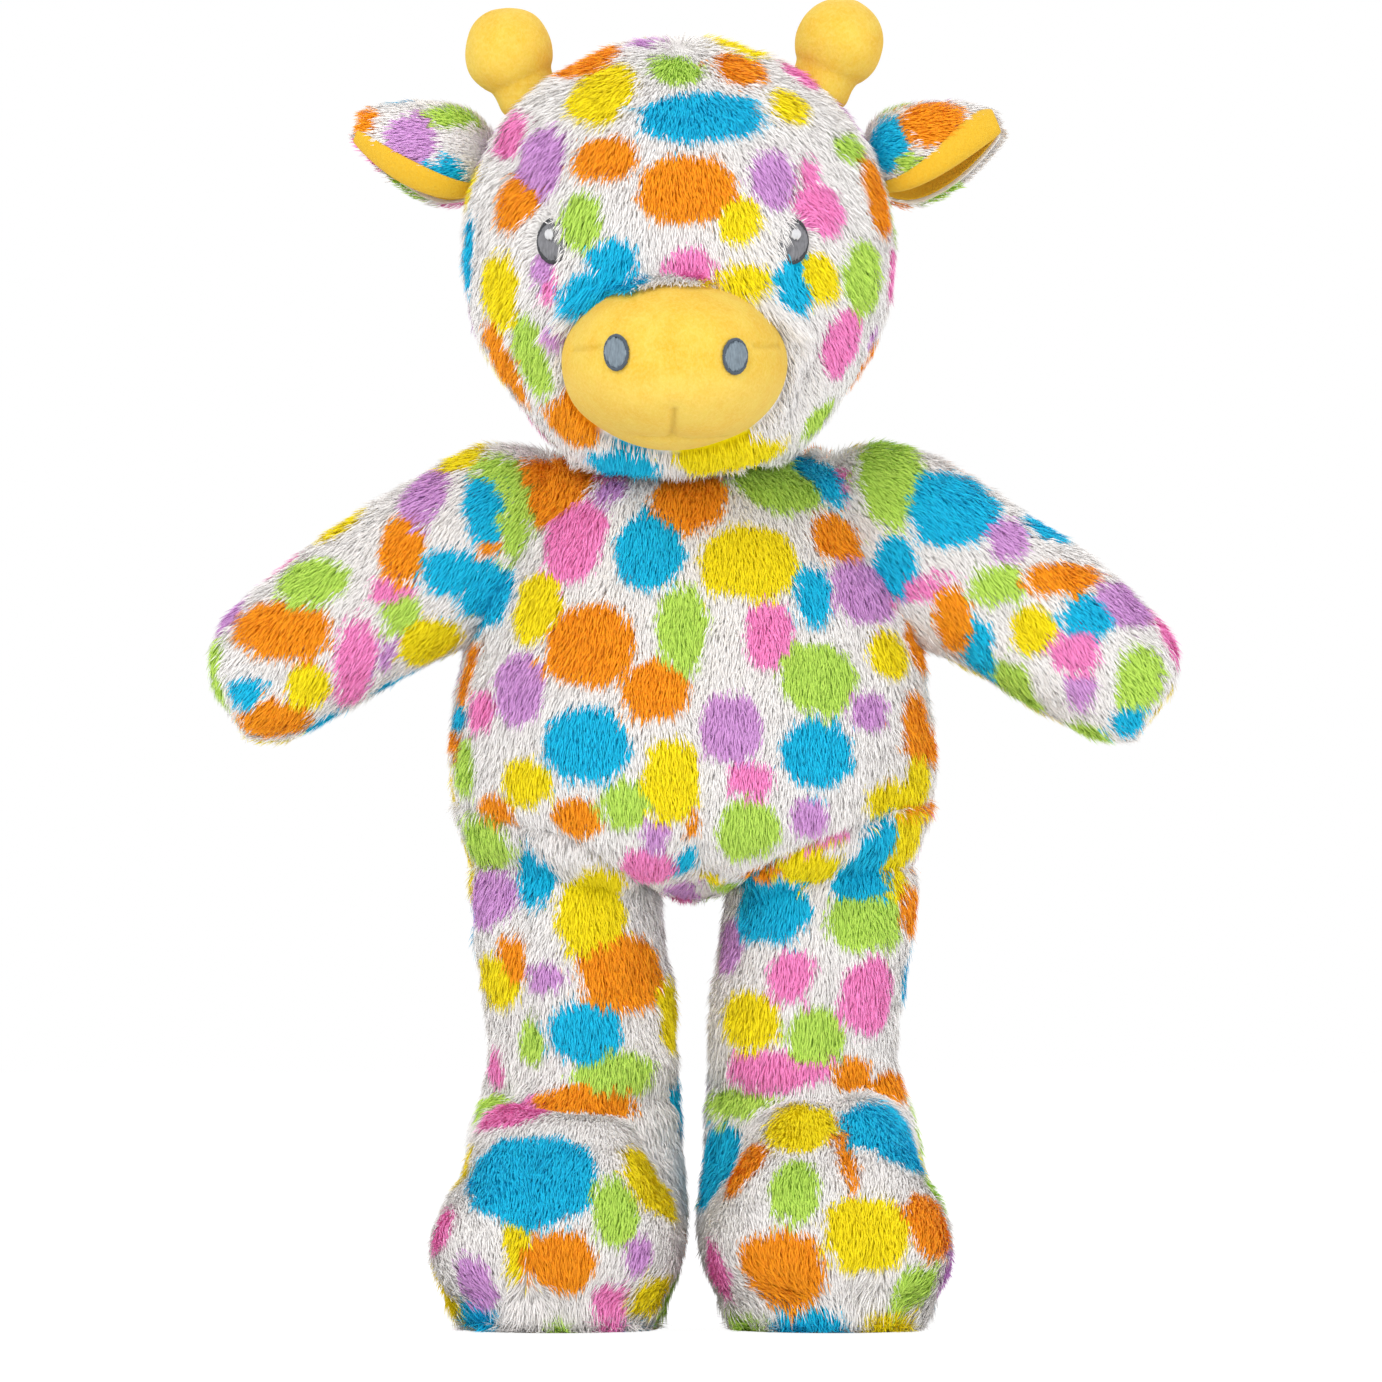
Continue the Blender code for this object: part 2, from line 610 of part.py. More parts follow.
def embroider(head, snout):
    """Eyes with their highlights, and nostrils."""
    made = []
    nostril_size = (NOSTRIL_WIDTH, NOSTRIL_HEIGHT)
    nostril_z = SNOUT_Z + NOSTRIL_UP
    glint_low = 2 * SEAT_GAP + STITCH_HEIGHT
    for side, side_name in ((1, "left"), (-1, "right")):
        x = side * EYE_X - FACE_SHIFT
        made.append(patch(f"eye_{side_name}", head, (EYE_WIDTH, EYE_HEIGHT), x, EYE_Z, THREAD, SEAT_GAP))
        glint_place = (x - side * GLINT_IN, EYE_Z + GLINT_UP)
        glint = f"eye_glint_{side_name}"
        made.append(patch(glint, head, (GLINT_WIDTH, GLINT_HEIGHT), *glint_place, WHITE_THREAD, glint_low))
        x = side * NOSTRIL_X - FACE_SHIFT
        name = f"nostril_{side_name}"
        made.append(patch(name, snout, nostril_size, x, nostril_z, NOSTRIL_THREAD, SEAT_GAP))
    return made


def build_ossicone(head, side, side_name):
    """A turned stem with a large end ball and a small root ball, and the socket of that root."""
    start = Vector((side * OSSICONE_X - FACE_SHIFT, HEAD_Y + OSSICONE_BACK, 2 * HEAD_TOP_Z))
    top, _ = surface_at(head, start, Vector((0, 0, -1)))
    lean = math.radians(OSSICONE_LEAN)
    way = Vector((side * math.sin(lean), 0, math.cos(lean)))
    root = top - way * OSSICONE_SUNK
    ball = OSSICONE_LENGTH - OSSICONE_BALL_RADIUS
    profile = [(0, OSSICONE_LENGTH)]
    for angle in range(25, 151, 25):
        turn = math.radians(angle)
        radius = OSSICONE_BALL_RADIUS
        profile.append((radius * math.sin(turn), ball + radius * math.cos(turn)))
    profile.append((OSSICONE_STEM_RADIUS, OSSICONE_ROOT_RADIUS / 2))
    for angle in (90, 125, 155):
        turn = math.radians(angle)
        profile.append((OSSICONE_ROOT_RADIUS * math.sin(turn), OSSICONE_ROOT_RADIUS * math.cos(turn)))
    profile.append((0, -OSSICONE_ROOT_RADIUS))
    name = f"ossicone_{side_name}"
    made = put(name, turned_mesh(name, profile), VELBOA)
    made.matrix_world = stood_along(way, root)
    axis = Vector((0, 1, 0))
    width = OSSICONE_STEM_RADIUS + ROOM_GAP
    ring = (root + way * OSSICONE_ROOT_RADIUS, way.cross(axis) * width, axis * width)
    turns = (-OSSICONE_BEND, 0, OSSICONE_BEND)
    socket = ball_room(name + "_socket", root, way, axis, ring, turns)
    below = root - way * (OSSICONE_ROOT_RADIUS + CUT_OVERRUN)
    mouth = rod_cutter(name + "_mouth", below, root, OSSICONE_ROOT_RADIUS / 2)
    core = stuffed(made, f"ossicone_stuffing_{side_name}", VELBOA_THICKNESS, mouth, coarse=False)
    joint = hang(f"ossicone_joint_{side_name}", root, (made, core))
    return joint, socket


def turned_mesh(name, profile):
    """A closed mesh from a profile of radius and height, turned about Z."""
    work = bmesh.new()
    points = [work.verts.new((x, 0, z)) for x, z in profile]
    edges = [work.edges.new(pair) for pair in zip(points, points[1:])]
    bmesh.ops.spin(
        work, geom=points + edges, axis=(0, 0, 1), cent=(0, 0, 0), steps=TURNED_STEPS, angle=2 * math.pi
    )
    bmesh.ops.remove_doubles(work, verts=work.verts, dist=MERGE_SHARE * SEAT_GAP)
    return finish_mesh(work, name)


def ear_sheet(name, root, way, material, thickness, inset=0):
    """A folded leaf of fabric, open to the front and below, with its thickness towards the fold.

    A lining is the same leaf moved inwards, without its two end rows.
    """
    front = Vector((0, -1, 0))
    up = Vector((0, 0, 1))
    up = (up - way * up.dot(way)).normalized()
    work = bmesh.new()
    loops = []
    for along, half in EAR_SHARES:
        radius = half * EAR_HALF_HEIGHT
        middle = root + way * along * EAR_LENGTH
        loop = []
        for i in range(EAR_FOLD_STEPS + 1):
            turn = math.radians(EAR_FRONT_LIP - (EAR_FRONT_LIP + EAR_BACK_LIP) * i / EAR_FOLD_STEPS)
            loop.append(work.verts.new(middle + (up * math.cos(turn) + front * math.sin(turn)) * radius))
        loops.append(loop)
    for low, high in zip(loops, loops[1:]):
        for i in range(EAR_FOLD_STEPS):
            corners = (low[i], low[i + 1], high[i + 1], high[i])
            work.faces.new(corners if way.x < 0 else corners[::-1])
    if inset:
        work.normal_update()
        for vert in work.verts:
            vert.co -= vert.normal * inset
        bmesh.ops.delete(work, geom=loops[0] + loops[-1], context="VERTS")
    mesh = bpy.data.meshes.new(name)
    work.to_mesh(mesh)
    work.free()
    mesh.shade_smooth()
    made = put(name, mesh, material)
    wall = made.modifiers.new("thickness", "SOLIDIFY")
    wall.thickness = thickness
    wall.offset = -1.0
    return made


def build_ear(head, side, side_name):
    """A plush leaf on a root ball, its lining, and the socket of that root."""
    start = Vector((side * 2 * HEAD_HALF_WIDTH, HEAD_Y + EAR_BACK, EAR_Z))
    found, _ = surface_at(head, start, Vector((-side, 0, 0)))
    rise = math.radians(EAR_RISE)
    way = Vector((side * math.cos(rise), 0, math.sin(rise)))
    root = found - way * EAR_SUNK
    ear = ear_sheet(f"ear_{side_name}", root, way, PLUSH, EAR_PLUSH_THICKNESS)
    work = bmesh.new()
    steps = {"u_segments": TURNED_STEPS, "v_segments": EAR_FOLD_STEPS}
    bmesh.ops.create_uvsphere(work, **steps, radius=EAR_ROOT_RADIUS)
    ball = put(f"ear_root_{side_name}", finish_mesh(work, "ear_root"))
    ball.matrix_world = Matrix.Translation(root)
    combine(ear, ball, "UNION")
    inset = EAR_PLUSH_THICKNESS + SEAT_GAP
    lining = ear_sheet(f"ear_lining_{side_name}", root, way, VELBOA, VELBOA_THICKNESS, inset)
    joint = hang(f"ear_joint_{side_name}", root, (ear, lining))
    axis = Vector((0, 1, 0))
    up = way.cross(axis)
    rings = [
        (root + way * along * EAR_LENGTH, up * half * EAR_HALF_HEIGHT, axis * half * EAR_HALF_HEIGHT)
        for along, half in EAR_SHARES[1:3]
    ]
    turns = (-EAR_FLAP, 0, EAR_FLAP)
    return joint, turning_room(f"ear_socket_{side_name}", ball, root, way, axis, rings, turns)


def build_tail(body):
    """A slim stuffed tail with a tuft at its end, and the socket of its root."""
    slope = math.radians(TAIL_SLOPE)
    way = Vector((0, math.cos(slope), -math.sin(slope)))
    across = Vector((1, 0, 0))
    deep = way.cross(across)
    start = Vector((0, 4 * TORSO_HALF_DEPTH, TORSO_BOTTOM_Z + TAIL_UP))
    place, _ = surface_at(body, start, Vector((0, -1, 0)))
    root = place - way * TAIL_SUNK
    end = root + way * TAIL_LENGTH
    length = [
        (root + way * along * TAIL_LENGTH, across * size * TAIL_RADIUS, deep * size * TAIL_RADIUS)
        for along, size in TAIL_SHARES
    ]
    rings = dome_rings(root, way, across, deep, TAIL_RADIUS, TAIL_RADIUS) + length
    tail = smoothed(put("tail", loft("tail", root - way * TAIL_RADIUS, rings, end, LIMB_SIDES), PLUSH))
    start = end - way * TUFT_OVERLAP
    rings = [
        (start + way * along * TUFT_LENGTH, across * size * TUFT_RADIUS, deep * size * TUFT_RADIUS)
        for along, size in TUFT_SHARES
    ]
    tuft_mesh = loft("tail_tuft", start, rings, start + way * TUFT_LENGTH, LIMB_SIDES)
    tuft = smoothed(put("tail_tuft", tuft_mesh, PLUSH))
    bpy.context.view_layer.update()
    combine(tuft, offset_copy(tail, "tail_outside", SEAT_GAP))
    hang("tail_joint", root, (tail, tuft))
    return turning_room("tail_socket", tail, root, way, across, length[:2], (0,))


def build():
    body = torso_form()
    head = head_form()
    snout = snout_form()
    head_outside = offset_copy(head, "head_outside", SEAT_GAP)
    bpy.context.view_layer.update()
    rooms = [build_tail(body)]
    sockets = [neck_room()]
    on_head = [head, snout]
    for side, side_name in ((1, "left"), (-1, "right")):
        rooms.append(build_arm(side, side_name))
        rooms.append(build_leg(side, side_name))
        for joint, socket in (build_ossicone(head, side, side_name), build_ear(head, side, side_name)):
            on_head.append(joint)
            sockets.append(socket)
    bpy.context.view_layer.update()
    on_head += embroider(head, snout)
    snout_core = stuffed(snout, "snout_stuffing", VELBOA_THICKNESS)
    for piece in (snout, snout_core):
        combine(piece, head_outside)
    body_core = stuffed(body, "body_stuffing", PLUSH_THICKNESS)
    for piece in (body, body_core):
        for room in rooms:
            combine(piece, room)
    head_core = stuffed(head, "head_stuffing", PLUSH_THICKNESS)
    for piece in (head, head_core):
        for socket in sockets:
            combine(piece, socket)
    hang("neck", Vector((0, TORSO_Y, TORSO_TOP_Z)), on_head + [head_core, snout_core])


build()
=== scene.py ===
import math

import bmesh
import bpy
import numpy as np
from mathutils import Matrix, Vector, noise
from mathutils.bvhtree import BVHTree


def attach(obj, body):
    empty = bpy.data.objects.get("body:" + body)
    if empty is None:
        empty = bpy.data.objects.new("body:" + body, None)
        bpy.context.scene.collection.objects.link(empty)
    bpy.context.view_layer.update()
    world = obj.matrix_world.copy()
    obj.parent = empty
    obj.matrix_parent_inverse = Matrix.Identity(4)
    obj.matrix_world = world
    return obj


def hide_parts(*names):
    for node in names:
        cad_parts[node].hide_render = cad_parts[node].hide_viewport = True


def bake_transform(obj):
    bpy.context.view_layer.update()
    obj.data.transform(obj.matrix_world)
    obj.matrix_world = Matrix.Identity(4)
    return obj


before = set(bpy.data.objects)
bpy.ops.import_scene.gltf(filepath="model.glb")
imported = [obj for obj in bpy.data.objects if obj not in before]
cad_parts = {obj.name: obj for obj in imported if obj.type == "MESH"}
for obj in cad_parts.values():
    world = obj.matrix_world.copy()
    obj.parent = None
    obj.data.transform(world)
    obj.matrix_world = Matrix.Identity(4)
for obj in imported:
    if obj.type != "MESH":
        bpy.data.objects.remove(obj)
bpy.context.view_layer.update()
scene = bpy.context.scene

# The camera and the photograph's frame
PHOTO_PIXELS = 1382
PIXEL = 0.00032  # metres of the toy's middle plane in one pixel
MIDDLE_PIXEL = 693  # the toy's middle line
FLOOR_PIXEL = 1328
CAMERA_DISTANCE = 6.0
SENSOR = 0.036

# The toy's main lengths, as its solids have them
MIDDLE_Y = 0.0116
TORSO_BOTTOM_Z, TORSO_TOP_Z = 0.137, 0.289
TORSO_HALF_WIDTH, TORSO_HALF_DEPTH = 0.077, 0.056
TORSO_Y = MIDDLE_Y + 0.004
BELLY_FORWARD = 0.12
CHIN_Z, HEAD_TOP_Z, HEAD_WIDEST_Z = 0.267, 0.4145, 0.345
HEAD_HALF_WIDTH, HEAD_HALF_DEPTH = 0.0715, 0.061
HEAD_X, HEAD_Y, CHIN_FORWARD = -0.0045, MIDDLE_Y - 0.013, 0.011
FACE_X = -0.006
SNOUT_Y, SNOUT_Z, SNOUT_REACH = MIDDLE_Y - 0.062, 0.3075, 0.041
SNOUT_HALF_WIDTH, SNOUT_HALF_HEIGHT = 0.0375, 0.0285
EYE_X, EYE_Z = 0.0405, 0.3465
EYE_SEEN = {"left": EYE_X - 0.0033, "right": EYE_X - 0.0024}
EYE_WIDTH, EYE_HEIGHT = 0.0088, 0.0132
GLINT_WIDTH, GLINT_HEIGHT = 0.0028, 0.0036
BROW_Z = SNOUT_Z + 0.0236  # the height where the short plush of the brow begins
NOSTRIL_SEEN = {"left": (0.0190, SNOUT_Z + 0.0018), "right": (0.0179, SNOUT_Z + 0.0030)}
NOSTRIL_WIDTH, NOSTRIL_HEIGHT = 0.0066, 0.0102
SHOULDER_X, SHOULDER_Z, SHOULDER_RADIUS = 0.060, 0.256, 0.030
ARM_REACH, ARM_HALF_HEIGHT, ARM_HALF_DEPTH, ARM_DROOP = 0.109, 0.0268, 0.0250, 30.5
HIP_X, HIP_Y, HIP_Z, HIP_RADIUS = 0.0405, MIDDLE_Y - 0.004, 0.124, 0.033
CALF_HALF_WIDTH, ANKLE_Z = 0.0323, 0.074
FOLD_Y, FOLD_Z, INSTEP_Z = -0.02405, 0.070, 0.063
FOOT_X, FOOT_HALF_WIDTH, FOOT_AHEAD, FOOT_SUNK = 0.042, 0.0405, 0.042, 0.007
TOE_Z, TOE_OUT, SOLE_TOP = 0.027, 0.004, 0.0028
OSSICONE_LENGTH, OSSICONE_BALL, OSSICONE_LEAN = 0.0340, 0.0147, 24.0
OSSICONE_ROOT = {"left": (0.03904, 0.0056, 0.39406), "right": (-0.05104, 0.0056, 0.39116)}
EAR_ROOT = {"left": (0.05497, 0.0146, 0.36787), "right": (-0.06397, 0.0146, 0.36787)}
EAR_LENGTH, EAR_HALF_HEIGHT, EAR_RISE = 0.0430 * 1.08, 0.0175 * 1.10, 22.0  # a little past their solids
TAIL_ROOT, TAIL_SLOPE, TAIL_LENGTH, TAIL_RADIUS = (0, 0.0649, 0.19701), 66.0, 0.034, 0.0062
TUFT_LENGTH, TUFT_RADIUS, TUFT_OVERLAP = 0.026, 0.0100, 0.005

TORSO_SHARES = (
    (0.985, 0.22, 0.28, 0.0),
    (0.925, 0.52, 0.62, 0.0),
    (0.82, 0.78, 0.84, 0.2),
    (0.64, 0.92, 0.93, 0.5),
    (0.42, 1.01, 1.01, 1.0),
    (0.22, 1.03, 1.04, 1.0),
    (0.08, 0.95, 0.92, 0.6),
    (0.012, 0.44, 0.46, 0.2),
)
HEAD_ANGLES = (16, 40, 64, 88, 110, 132, 156)
SNOUT_ANGLES = (35, 75, 105, 130, 155)
DOME_ANGLES = (32, 64)
ARM_SHARES = (
    (0.00, 1.12, 1.00, 0.00), (0.22, 1.12, 1.00, 0.00), (0.48, 1.03, 0.98, 0.04),
    (0.74, 1.00, 0.96, -0.05), (0.92, 0.84, 0.82, -0.13), (0.985, 0.48, 0.47, -0.16),
)
LEG_SHARES = ((0.00, 1.02, 0.00), (0.50, 0.95, 0.18), (0.96, 0.98, 0.17))
HEEL_SHARES = ((24, 1.08, 0.85), (48, 1.50, 0.94))
FOOT_SHARES = ((0.02, 0.02, 0.99), (0.34, 0.10, 1.01), (0.66, 0.30, 0.96), (0.89, 0.58, 0.70))
EAR_SHARES = ((0.00, 0.34), (0.16, 0.88), (0.38, 1.00), (0.64, 0.84), (0.86, 0.56), (1.00, 0.32))
EAR_BACK = -148  # the leaf's back edge, in degrees from its top
EAR_EDGES = {"left": ((0, 114), (1, 106)), "right": ((0, 118), (1, 140))}
EAR_LIPS = {"left": ((0, 2), (0.15, 3), (0.46, 9), (0.60, 16), (0.80, 48), (1, 84)), "right": ((0, 5), (1, 32))}
HIP_SEAM = (  # how high the hip seam runs this far from the middle
    (0.008, 0.1400), (0.018, 0.1462), (0.028, 0.1535), (0.040, 0.1600),
    (0.055, 0.1632), (0.070, 0.1680), (0.100, 0.1760),
)
HIP_BEND = (0.166, 0.080)  # the hip joint's bend lies between these heights, which the legs' plush does not use
ARM_BEND = 0.062  # the arm joint's bend, over this length, which the arms' plush does not use
INSTEP = (  # ahead of the shin's fold, height and half width
    (-0.014, 0.0840, 0.026), (0.0, 0.0765, 0.028), (0.012, 0.0675, 0.029),
    (0.024, 0.0570, 0.027), (0.030, 0.0500, 0.024),
)
INSTEP_BASE = 0.034
TAIL_SHARES = ((0.15, 1.00), (0.55, 0.80), (0.96, 0.74))
TUFT_SHARES = ((0.08, 0.55), (0.36, 1.00), (0.68, 0.92), (0.92, 0.50))

# The plush
PILE_SUNK = 0.0030  # the backing, under the pile's surface
PILE_LENGTH = 0.0058
STRAND_WIDTH = 0.00036
STRANDS = 3.6e6  # in a square metre
SKIN_STEP = 0.0024  # the backing's mesh
ROOM_GAP = 0.0006
SPOT_ROUNDNESS = 2.3  # 2 for an oval, more for a squarer spot
THREAD_STEP, THREAD_WIDTH = 0.00046, 0.00056  # from one satin thread to the next, and across one
SEAM_DRAWN = ((0.0017, 0.0040), (0.0012, 0.011))  # how deep a seam draws the skin in, and how far around

TONES = ("white", "blue", "orange", "yellow", "lime", "lilac", "pink")
SRGB = {
    "white": (250, 247, 245),
    "blue": (0, 198, 238),
    "orange": (255, 162, 8),
    "yellow": (255, 236, 0),
    "lime": (198, 234, 98),
    "lilac": (222, 164, 226),
    "pink": (255, 148, 212),
    "velboa": (229, 193, 70),
    "velboa deep": (226, 176, 38),
    "velboa pale": (246, 217, 122),
    "eye": (128, 128, 132),
    "eye rim": (70, 71, 74),
    "glint": (214, 214, 216),
    "nostril": (126, 139, 149),
    "nostril rim": (84, 94, 105),
}


def paint(name, shade=1.0):
    """A named colour as Blender's linear values."""
    made = []
    for part in SRGB[name]:
        part = part / 255
        made.append((part / 12.92 if part <= 0.04045 else ((part + 0.055) / 1.055) ** 2.4) * shade)
    return (*made, 1.0)


# Node trees, written as expressions


class Socket:
    """An output in a node tree. Sums and products of it add Math nodes."""

    def __init__(self, tree, out):
        self.tree, self.out = tree, out

    def maths(self, operation, *values):
        return self.tree.add("ShaderNodeMath", {"operation": operation}, dict(enumerate(values)))

    def __add__(self, other):
        return self.maths("ADD", self, other)

    def __sub__(self, other):
        return self.maths("SUBTRACT", self, other)

    def __rsub__(self, other):
        return self.maths("SUBTRACT", other, self)

    def __mul__(self, other):
        return self.maths("MULTIPLY", self, other)

    def __truediv__(self, other):
        return self.maths("DIVIDE", self, other)

    def __gt__(self, other):
        return self.maths("GREATER_THAN", self, other)

    def __pow__(self, other):
        return self.maths("POWER", self, other)

    def limited(self):
        return self.tree.add(
            "ShaderNodeMath", {"operation": "ADD", "use_clamp": True}, {0: self, 1: 0.0}
        )

    __radd__ = __add__
    __rmul__ = __mul__


class Tree:
    """A node tree whose nodes come from one call."""

    def __init__(self, nodes, links):
        self.nodes, self.links = nodes, links

    def node(self, kind, settings=None, inputs=None):
        made = self.nodes.new(kind)
        for name, value in (settings or {}).items():
            if name == "stops":
                ramp = made.color_ramp
                while len(ramp.elements) < len(value):
                    ramp.elements.new(0.5)
                for stop, (place, colour) in zip(ramp.elements, value):
                    stop.position, stop.color = place, colour
            elif name == "interpolation" and kind == "ShaderNodeValToRGB":
                made.color_ramp.interpolation = value
            else:
                setattr(made, name, value)
        for key, value in (inputs or {}).items():
            self.feed(made, key, value)
        return made

    def feed(self, node, key, value):
        if isinstance(key, int):
            target = node.inputs[key]
        else:
            target = next(s for s in node.inputs if s.enabled and s.name == key)
        if isinstance(value, Socket):
            self.links.new(value.out, target)
        else:
            target.default_value = value

    def add(self, kind, settings=None, inputs=None, out=0):
        return self.out(self.node(kind, settings, inputs), out)

    def out(self, node, out=0):
        if isinstance(out, int):
            return Socket(self, [s for s in node.outputs if s.enabled][out])
        return Socket(self, next(s for s in node.outputs if s.enabled and s.name == out))

    def vectors(self, operation, a, b=None, scale=None):
        inputs = {0: a}
        if b is not None:
            inputs[1] = b
        if scale is not None:
            inputs[3] = scale
        return self.add("ShaderNodeVectorMath", {"operation": operation}, inputs)

    def scaled(self, vector, by):
        return self.vectors("SCALE", vector, scale=by)

    def noise(self, place, scale, detail, roughness=0.5):
        """Noise with this many features in a metre."""
        inputs = {"Vector": place, "Scale": scale, "Detail": detail, "Roughness": roughness}
        return self.add("ShaderNodeTexNoise", {}, inputs)

    def stretched(self, place, z):
        return self.add("ShaderNodeMapping", {}, {"Vector": place, "Scale": (1.0, 1.0, z)})

    def joined(self, x, y, z):
        return self.add("ShaderNodeCombineXYZ", inputs={0: x, 1: y, 2: z})

    def bumped(self, shader, strength, distance, height):
        inputs = {"Strength": strength, "Distance": distance, "Height": height}
        self.feed(shader, "Normal", self.add("ShaderNodeBump", {}, inputs))

    def seen(self):
        """1 where the camera sees it, also in a mirror or through glass."""
        path = self.node("ShaderNodeLightPath")
        rays = [self.out(path, f"Is {kind} Ray") for kind in ("Camera", "Glossy", "Transmission")]
        return (rays[0] + rays[1] + rays[2]).limited()

    def mixed(self, share, a, b):
        """Colour a, turning to b as share goes from 0 to 1."""
        return self.add(
            "ShaderNodeMix", {"data_type": "RGBA"}, {"Factor": share, "A": a, "B": b}, "Result"
        )


def surface_material(name, roughness, sheen=0.0, sheen_colour=(1, 1, 1, 1)):
    """An empty finish with its shader ready. Returns the material, its tree and the shader."""
    material = bpy.data.materials.new(name)
    material.use_nodes = True
    shader = material.node_tree.nodes["Principled BSDF"]
    shader.inputs["Roughness"].default_value = roughness
    shader.inputs["Specular IOR Level"].default_value = 0.14
    shader.inputs["Sheen Weight"].default_value = sheen
    shader.inputs["Sheen Roughness"].default_value = 0.6
    shader.inputs["Sheen Tint"].default_value = sheen_colour
    return material, Tree(material.node_tree.nodes, material.node_tree.links), shader


def pile_material():
    """Strands: the colour's column across, root to tip along. Painted shade darkens each root and painted light
    pales each tip.
    """
    material, tree, shader = surface_material("plush pile", 0.8, 0.02)
    place = tree.add("ShaderNodeUVMap", {"uv_map": "strand"})
    split = tree.node("ShaderNodeSeparateXYZ", inputs={0: place})
    across, along = tree.out(split, "X"), tree.out(split, "Y")
    stops = [(i / len(TONES), paint(tone)) for i, tone in enumerate(TONES)]
    colour = tree.add(
        "ShaderNodeValToRGB", {"interpolation": "CONSTANT", "stops": stops}, {"Fac": across}
    )
    shade = tree.add("ShaderNodeTexNoise", {"noise_dimensions": "1D"}, {"W": across * 900.0, "Detail": 1.0})
    # painted shade: each strand darker towards its root, where the pile shades itself, times a random tone from
    # strand to strand
    light = (along * 0.16 + 0.87).limited() * (shade * 0.14 + 0.93)
    # painted light: the tips turn a little paler, as if lit through
    pale = tree.mixed(along * along * 0.03, tree.scaled(colour, light), paint("white"))
    tree.feed(shader, "Base Color", pale)
    tree.feed(shader, "Roughness", along * 0.1 + 0.72)
    return material


def backing_material():
    """The knitted backing under the pile, in the pile's colours, darkened with painted shade."""
    material, tree, shader = surface_material("plush backing", 0.9)
    colour = tree.add("ShaderNodeAttribute", {"attribute_name": "pile_colour"}, out="Color")
    place = tree.add("ShaderNodeTexCoord", out="Object")
    knit = tree.noise(place, 1400.0, 2.0)
    # painted shade: the backing darkened as it lies under the pile, with the knit's texture over it
    shade = knit * 0.16 + 0.84
    tree.feed(shader, "Base Color", tree.scaled(colour, shade))
    tree.bumped(shader, 0.5, 0.0003, knit)
    return material


def velboa_material(name, base, deep, pale, lower=None):
    """Short-pile yellow fabric with brushed patches and painted shade in its seams. Below a height it can turn
    paler.
    """
    material, tree, shader = surface_material(name, 0.85, 0.14, (1.0, 0.90, 0.50, 1))
    place = tree.add("ShaderNodeTexCoord", out="Object")
    brushed = tree.noise(place, 90.0, 5.0, 0.68)
    marks = tree.noise(place, 900.0, 3.0, 0.6)
    grain = tree.noise(tree.stretched(place, 0.35), 2600.0, 3.0, 0.7)
    colour = tree.mixed(((brushed - 0.36) * 4.0).limited(), paint(deep), paint(base))
    colour = tree.mixed(((marks - 0.42) * 4.0).limited() * 0.3, colour, paint(pale))
    colour = tree.mixed(((grain - 0.42) * 3.0).limited() * 0.35, colour, paint(pale))
    # painted shade along the seams, darker where a seam is deeper
    seam = tree.add("ShaderNodeAttribute", {"attribute_name": "seam"}, out="Fac")
    colour = tree.mixed(seam * 0.6, colour, paint(deep, 0.62))
    if lower is not None:
        split = tree.node("ShaderNodeSeparateXYZ", inputs={0: place})
        fall = ((lower - tree.out(split, "Z")) * 160.0 + 0.5).limited()
        colour = tree.mixed(fall * 0.22, colour, paint(pale))
    tree.feed(shader, "Base Color", colour)
    tree.feed(shader, "Roughness", grain * 0.2 + 0.72)
    tree.bumped(shader, 0.75, 0.0006, grain * 0.4 + marks * 0.6)
    return material


def thread_material(name, colour, shade=0.16):
    """Rayon embroidery thread: twisted, with a soft shine."""
    material, tree, shader = surface_material(name, 0.42)
    place = tree.add("ShaderNodeTexCoord", out="Object")
    ply = tree.noise(tree.stretched(place, 0.3), 1500.0, 2.0)
    patch = tree.noise(place, 600.0, 1.0)
    light = ply * 2 * shade + patch * shade + (1.0 - 1.5 * shade)
    tree.feed(shader, "Base Color", tree.scaled(paint(colour)[:3], light))
    tree.feed(shader, "Roughness", ply * 0.3 + 0.3)
    tree.bumped(shader, 0.4, 0.0001, ply)
    return material


# Shapes


def put(name, mesh):
    made = bpy.data.objects.new(name, mesh)
    scene.collection.objects.link(made)
    return made


def finish_mesh(work, name):
    bmesh.ops.recalc_face_normals(work, faces=work.faces)
    mesh = bpy.data.meshes.new(name)
    work.to_mesh(mesh)
    work.free()
    mesh.shade_smooth()
    return mesh


def ring_points(ring, sides):
    """A cage's ring. Its half axes are those of the smoothed form."""
    middle, across, deep = ring
    shrink = (2 + math.cos(2 * math.pi / sides)) / 3
    turns = [2 * math.pi * i / sides for i in range(sides)]
    return [middle + (across * math.cos(t) + deep * math.sin(t)) / shrink for t in turns]


def loft(name, start, rings, end, sides):
    work = bmesh.new()
    loops = [[work.verts.new(p) for p in ring_points(ring, sides)] for ring in rings]
    for low, high in zip(loops, loops[1:]):
        for i in range(sides):
            j = (i + 1) % sides
            work.faces.new((low[i], low[j], high[j], high[i]))
    for pole, loop in ((start, loops[0]), (end, loops[-1])):
        tip = work.verts.new(pole)
        for i in range(sides):
            work.faces.new((tip, loop[i], loop[(i + 1) % sides]))
    return put(name, finish_mesh(work, name))


def changed(thing, kind, **settings):
    modifier = thing.modifiers.new(kind.lower(), kind)
    for name, value in settings.items():
        setattr(modifier, name, value)
    return modifier


def rounded(thing, levels=3):
    changed(thing, "SUBSURF", levels=levels, render_levels=levels)
    return thing


def plain(thing, name=None):
    """The shape with its modifiers worked in, as an object of its own."""
    bpy.context.view_layer.update()
    ready = thing.evaluated_get(bpy.context.evaluated_depsgraph_get())
    mesh = bpy.data.meshes.new_from_object(ready)
    made = put(name or thing.name, mesh)
    bpy.data.objects.remove(thing)
    made.name = mesh.name = name or made.name
    return made


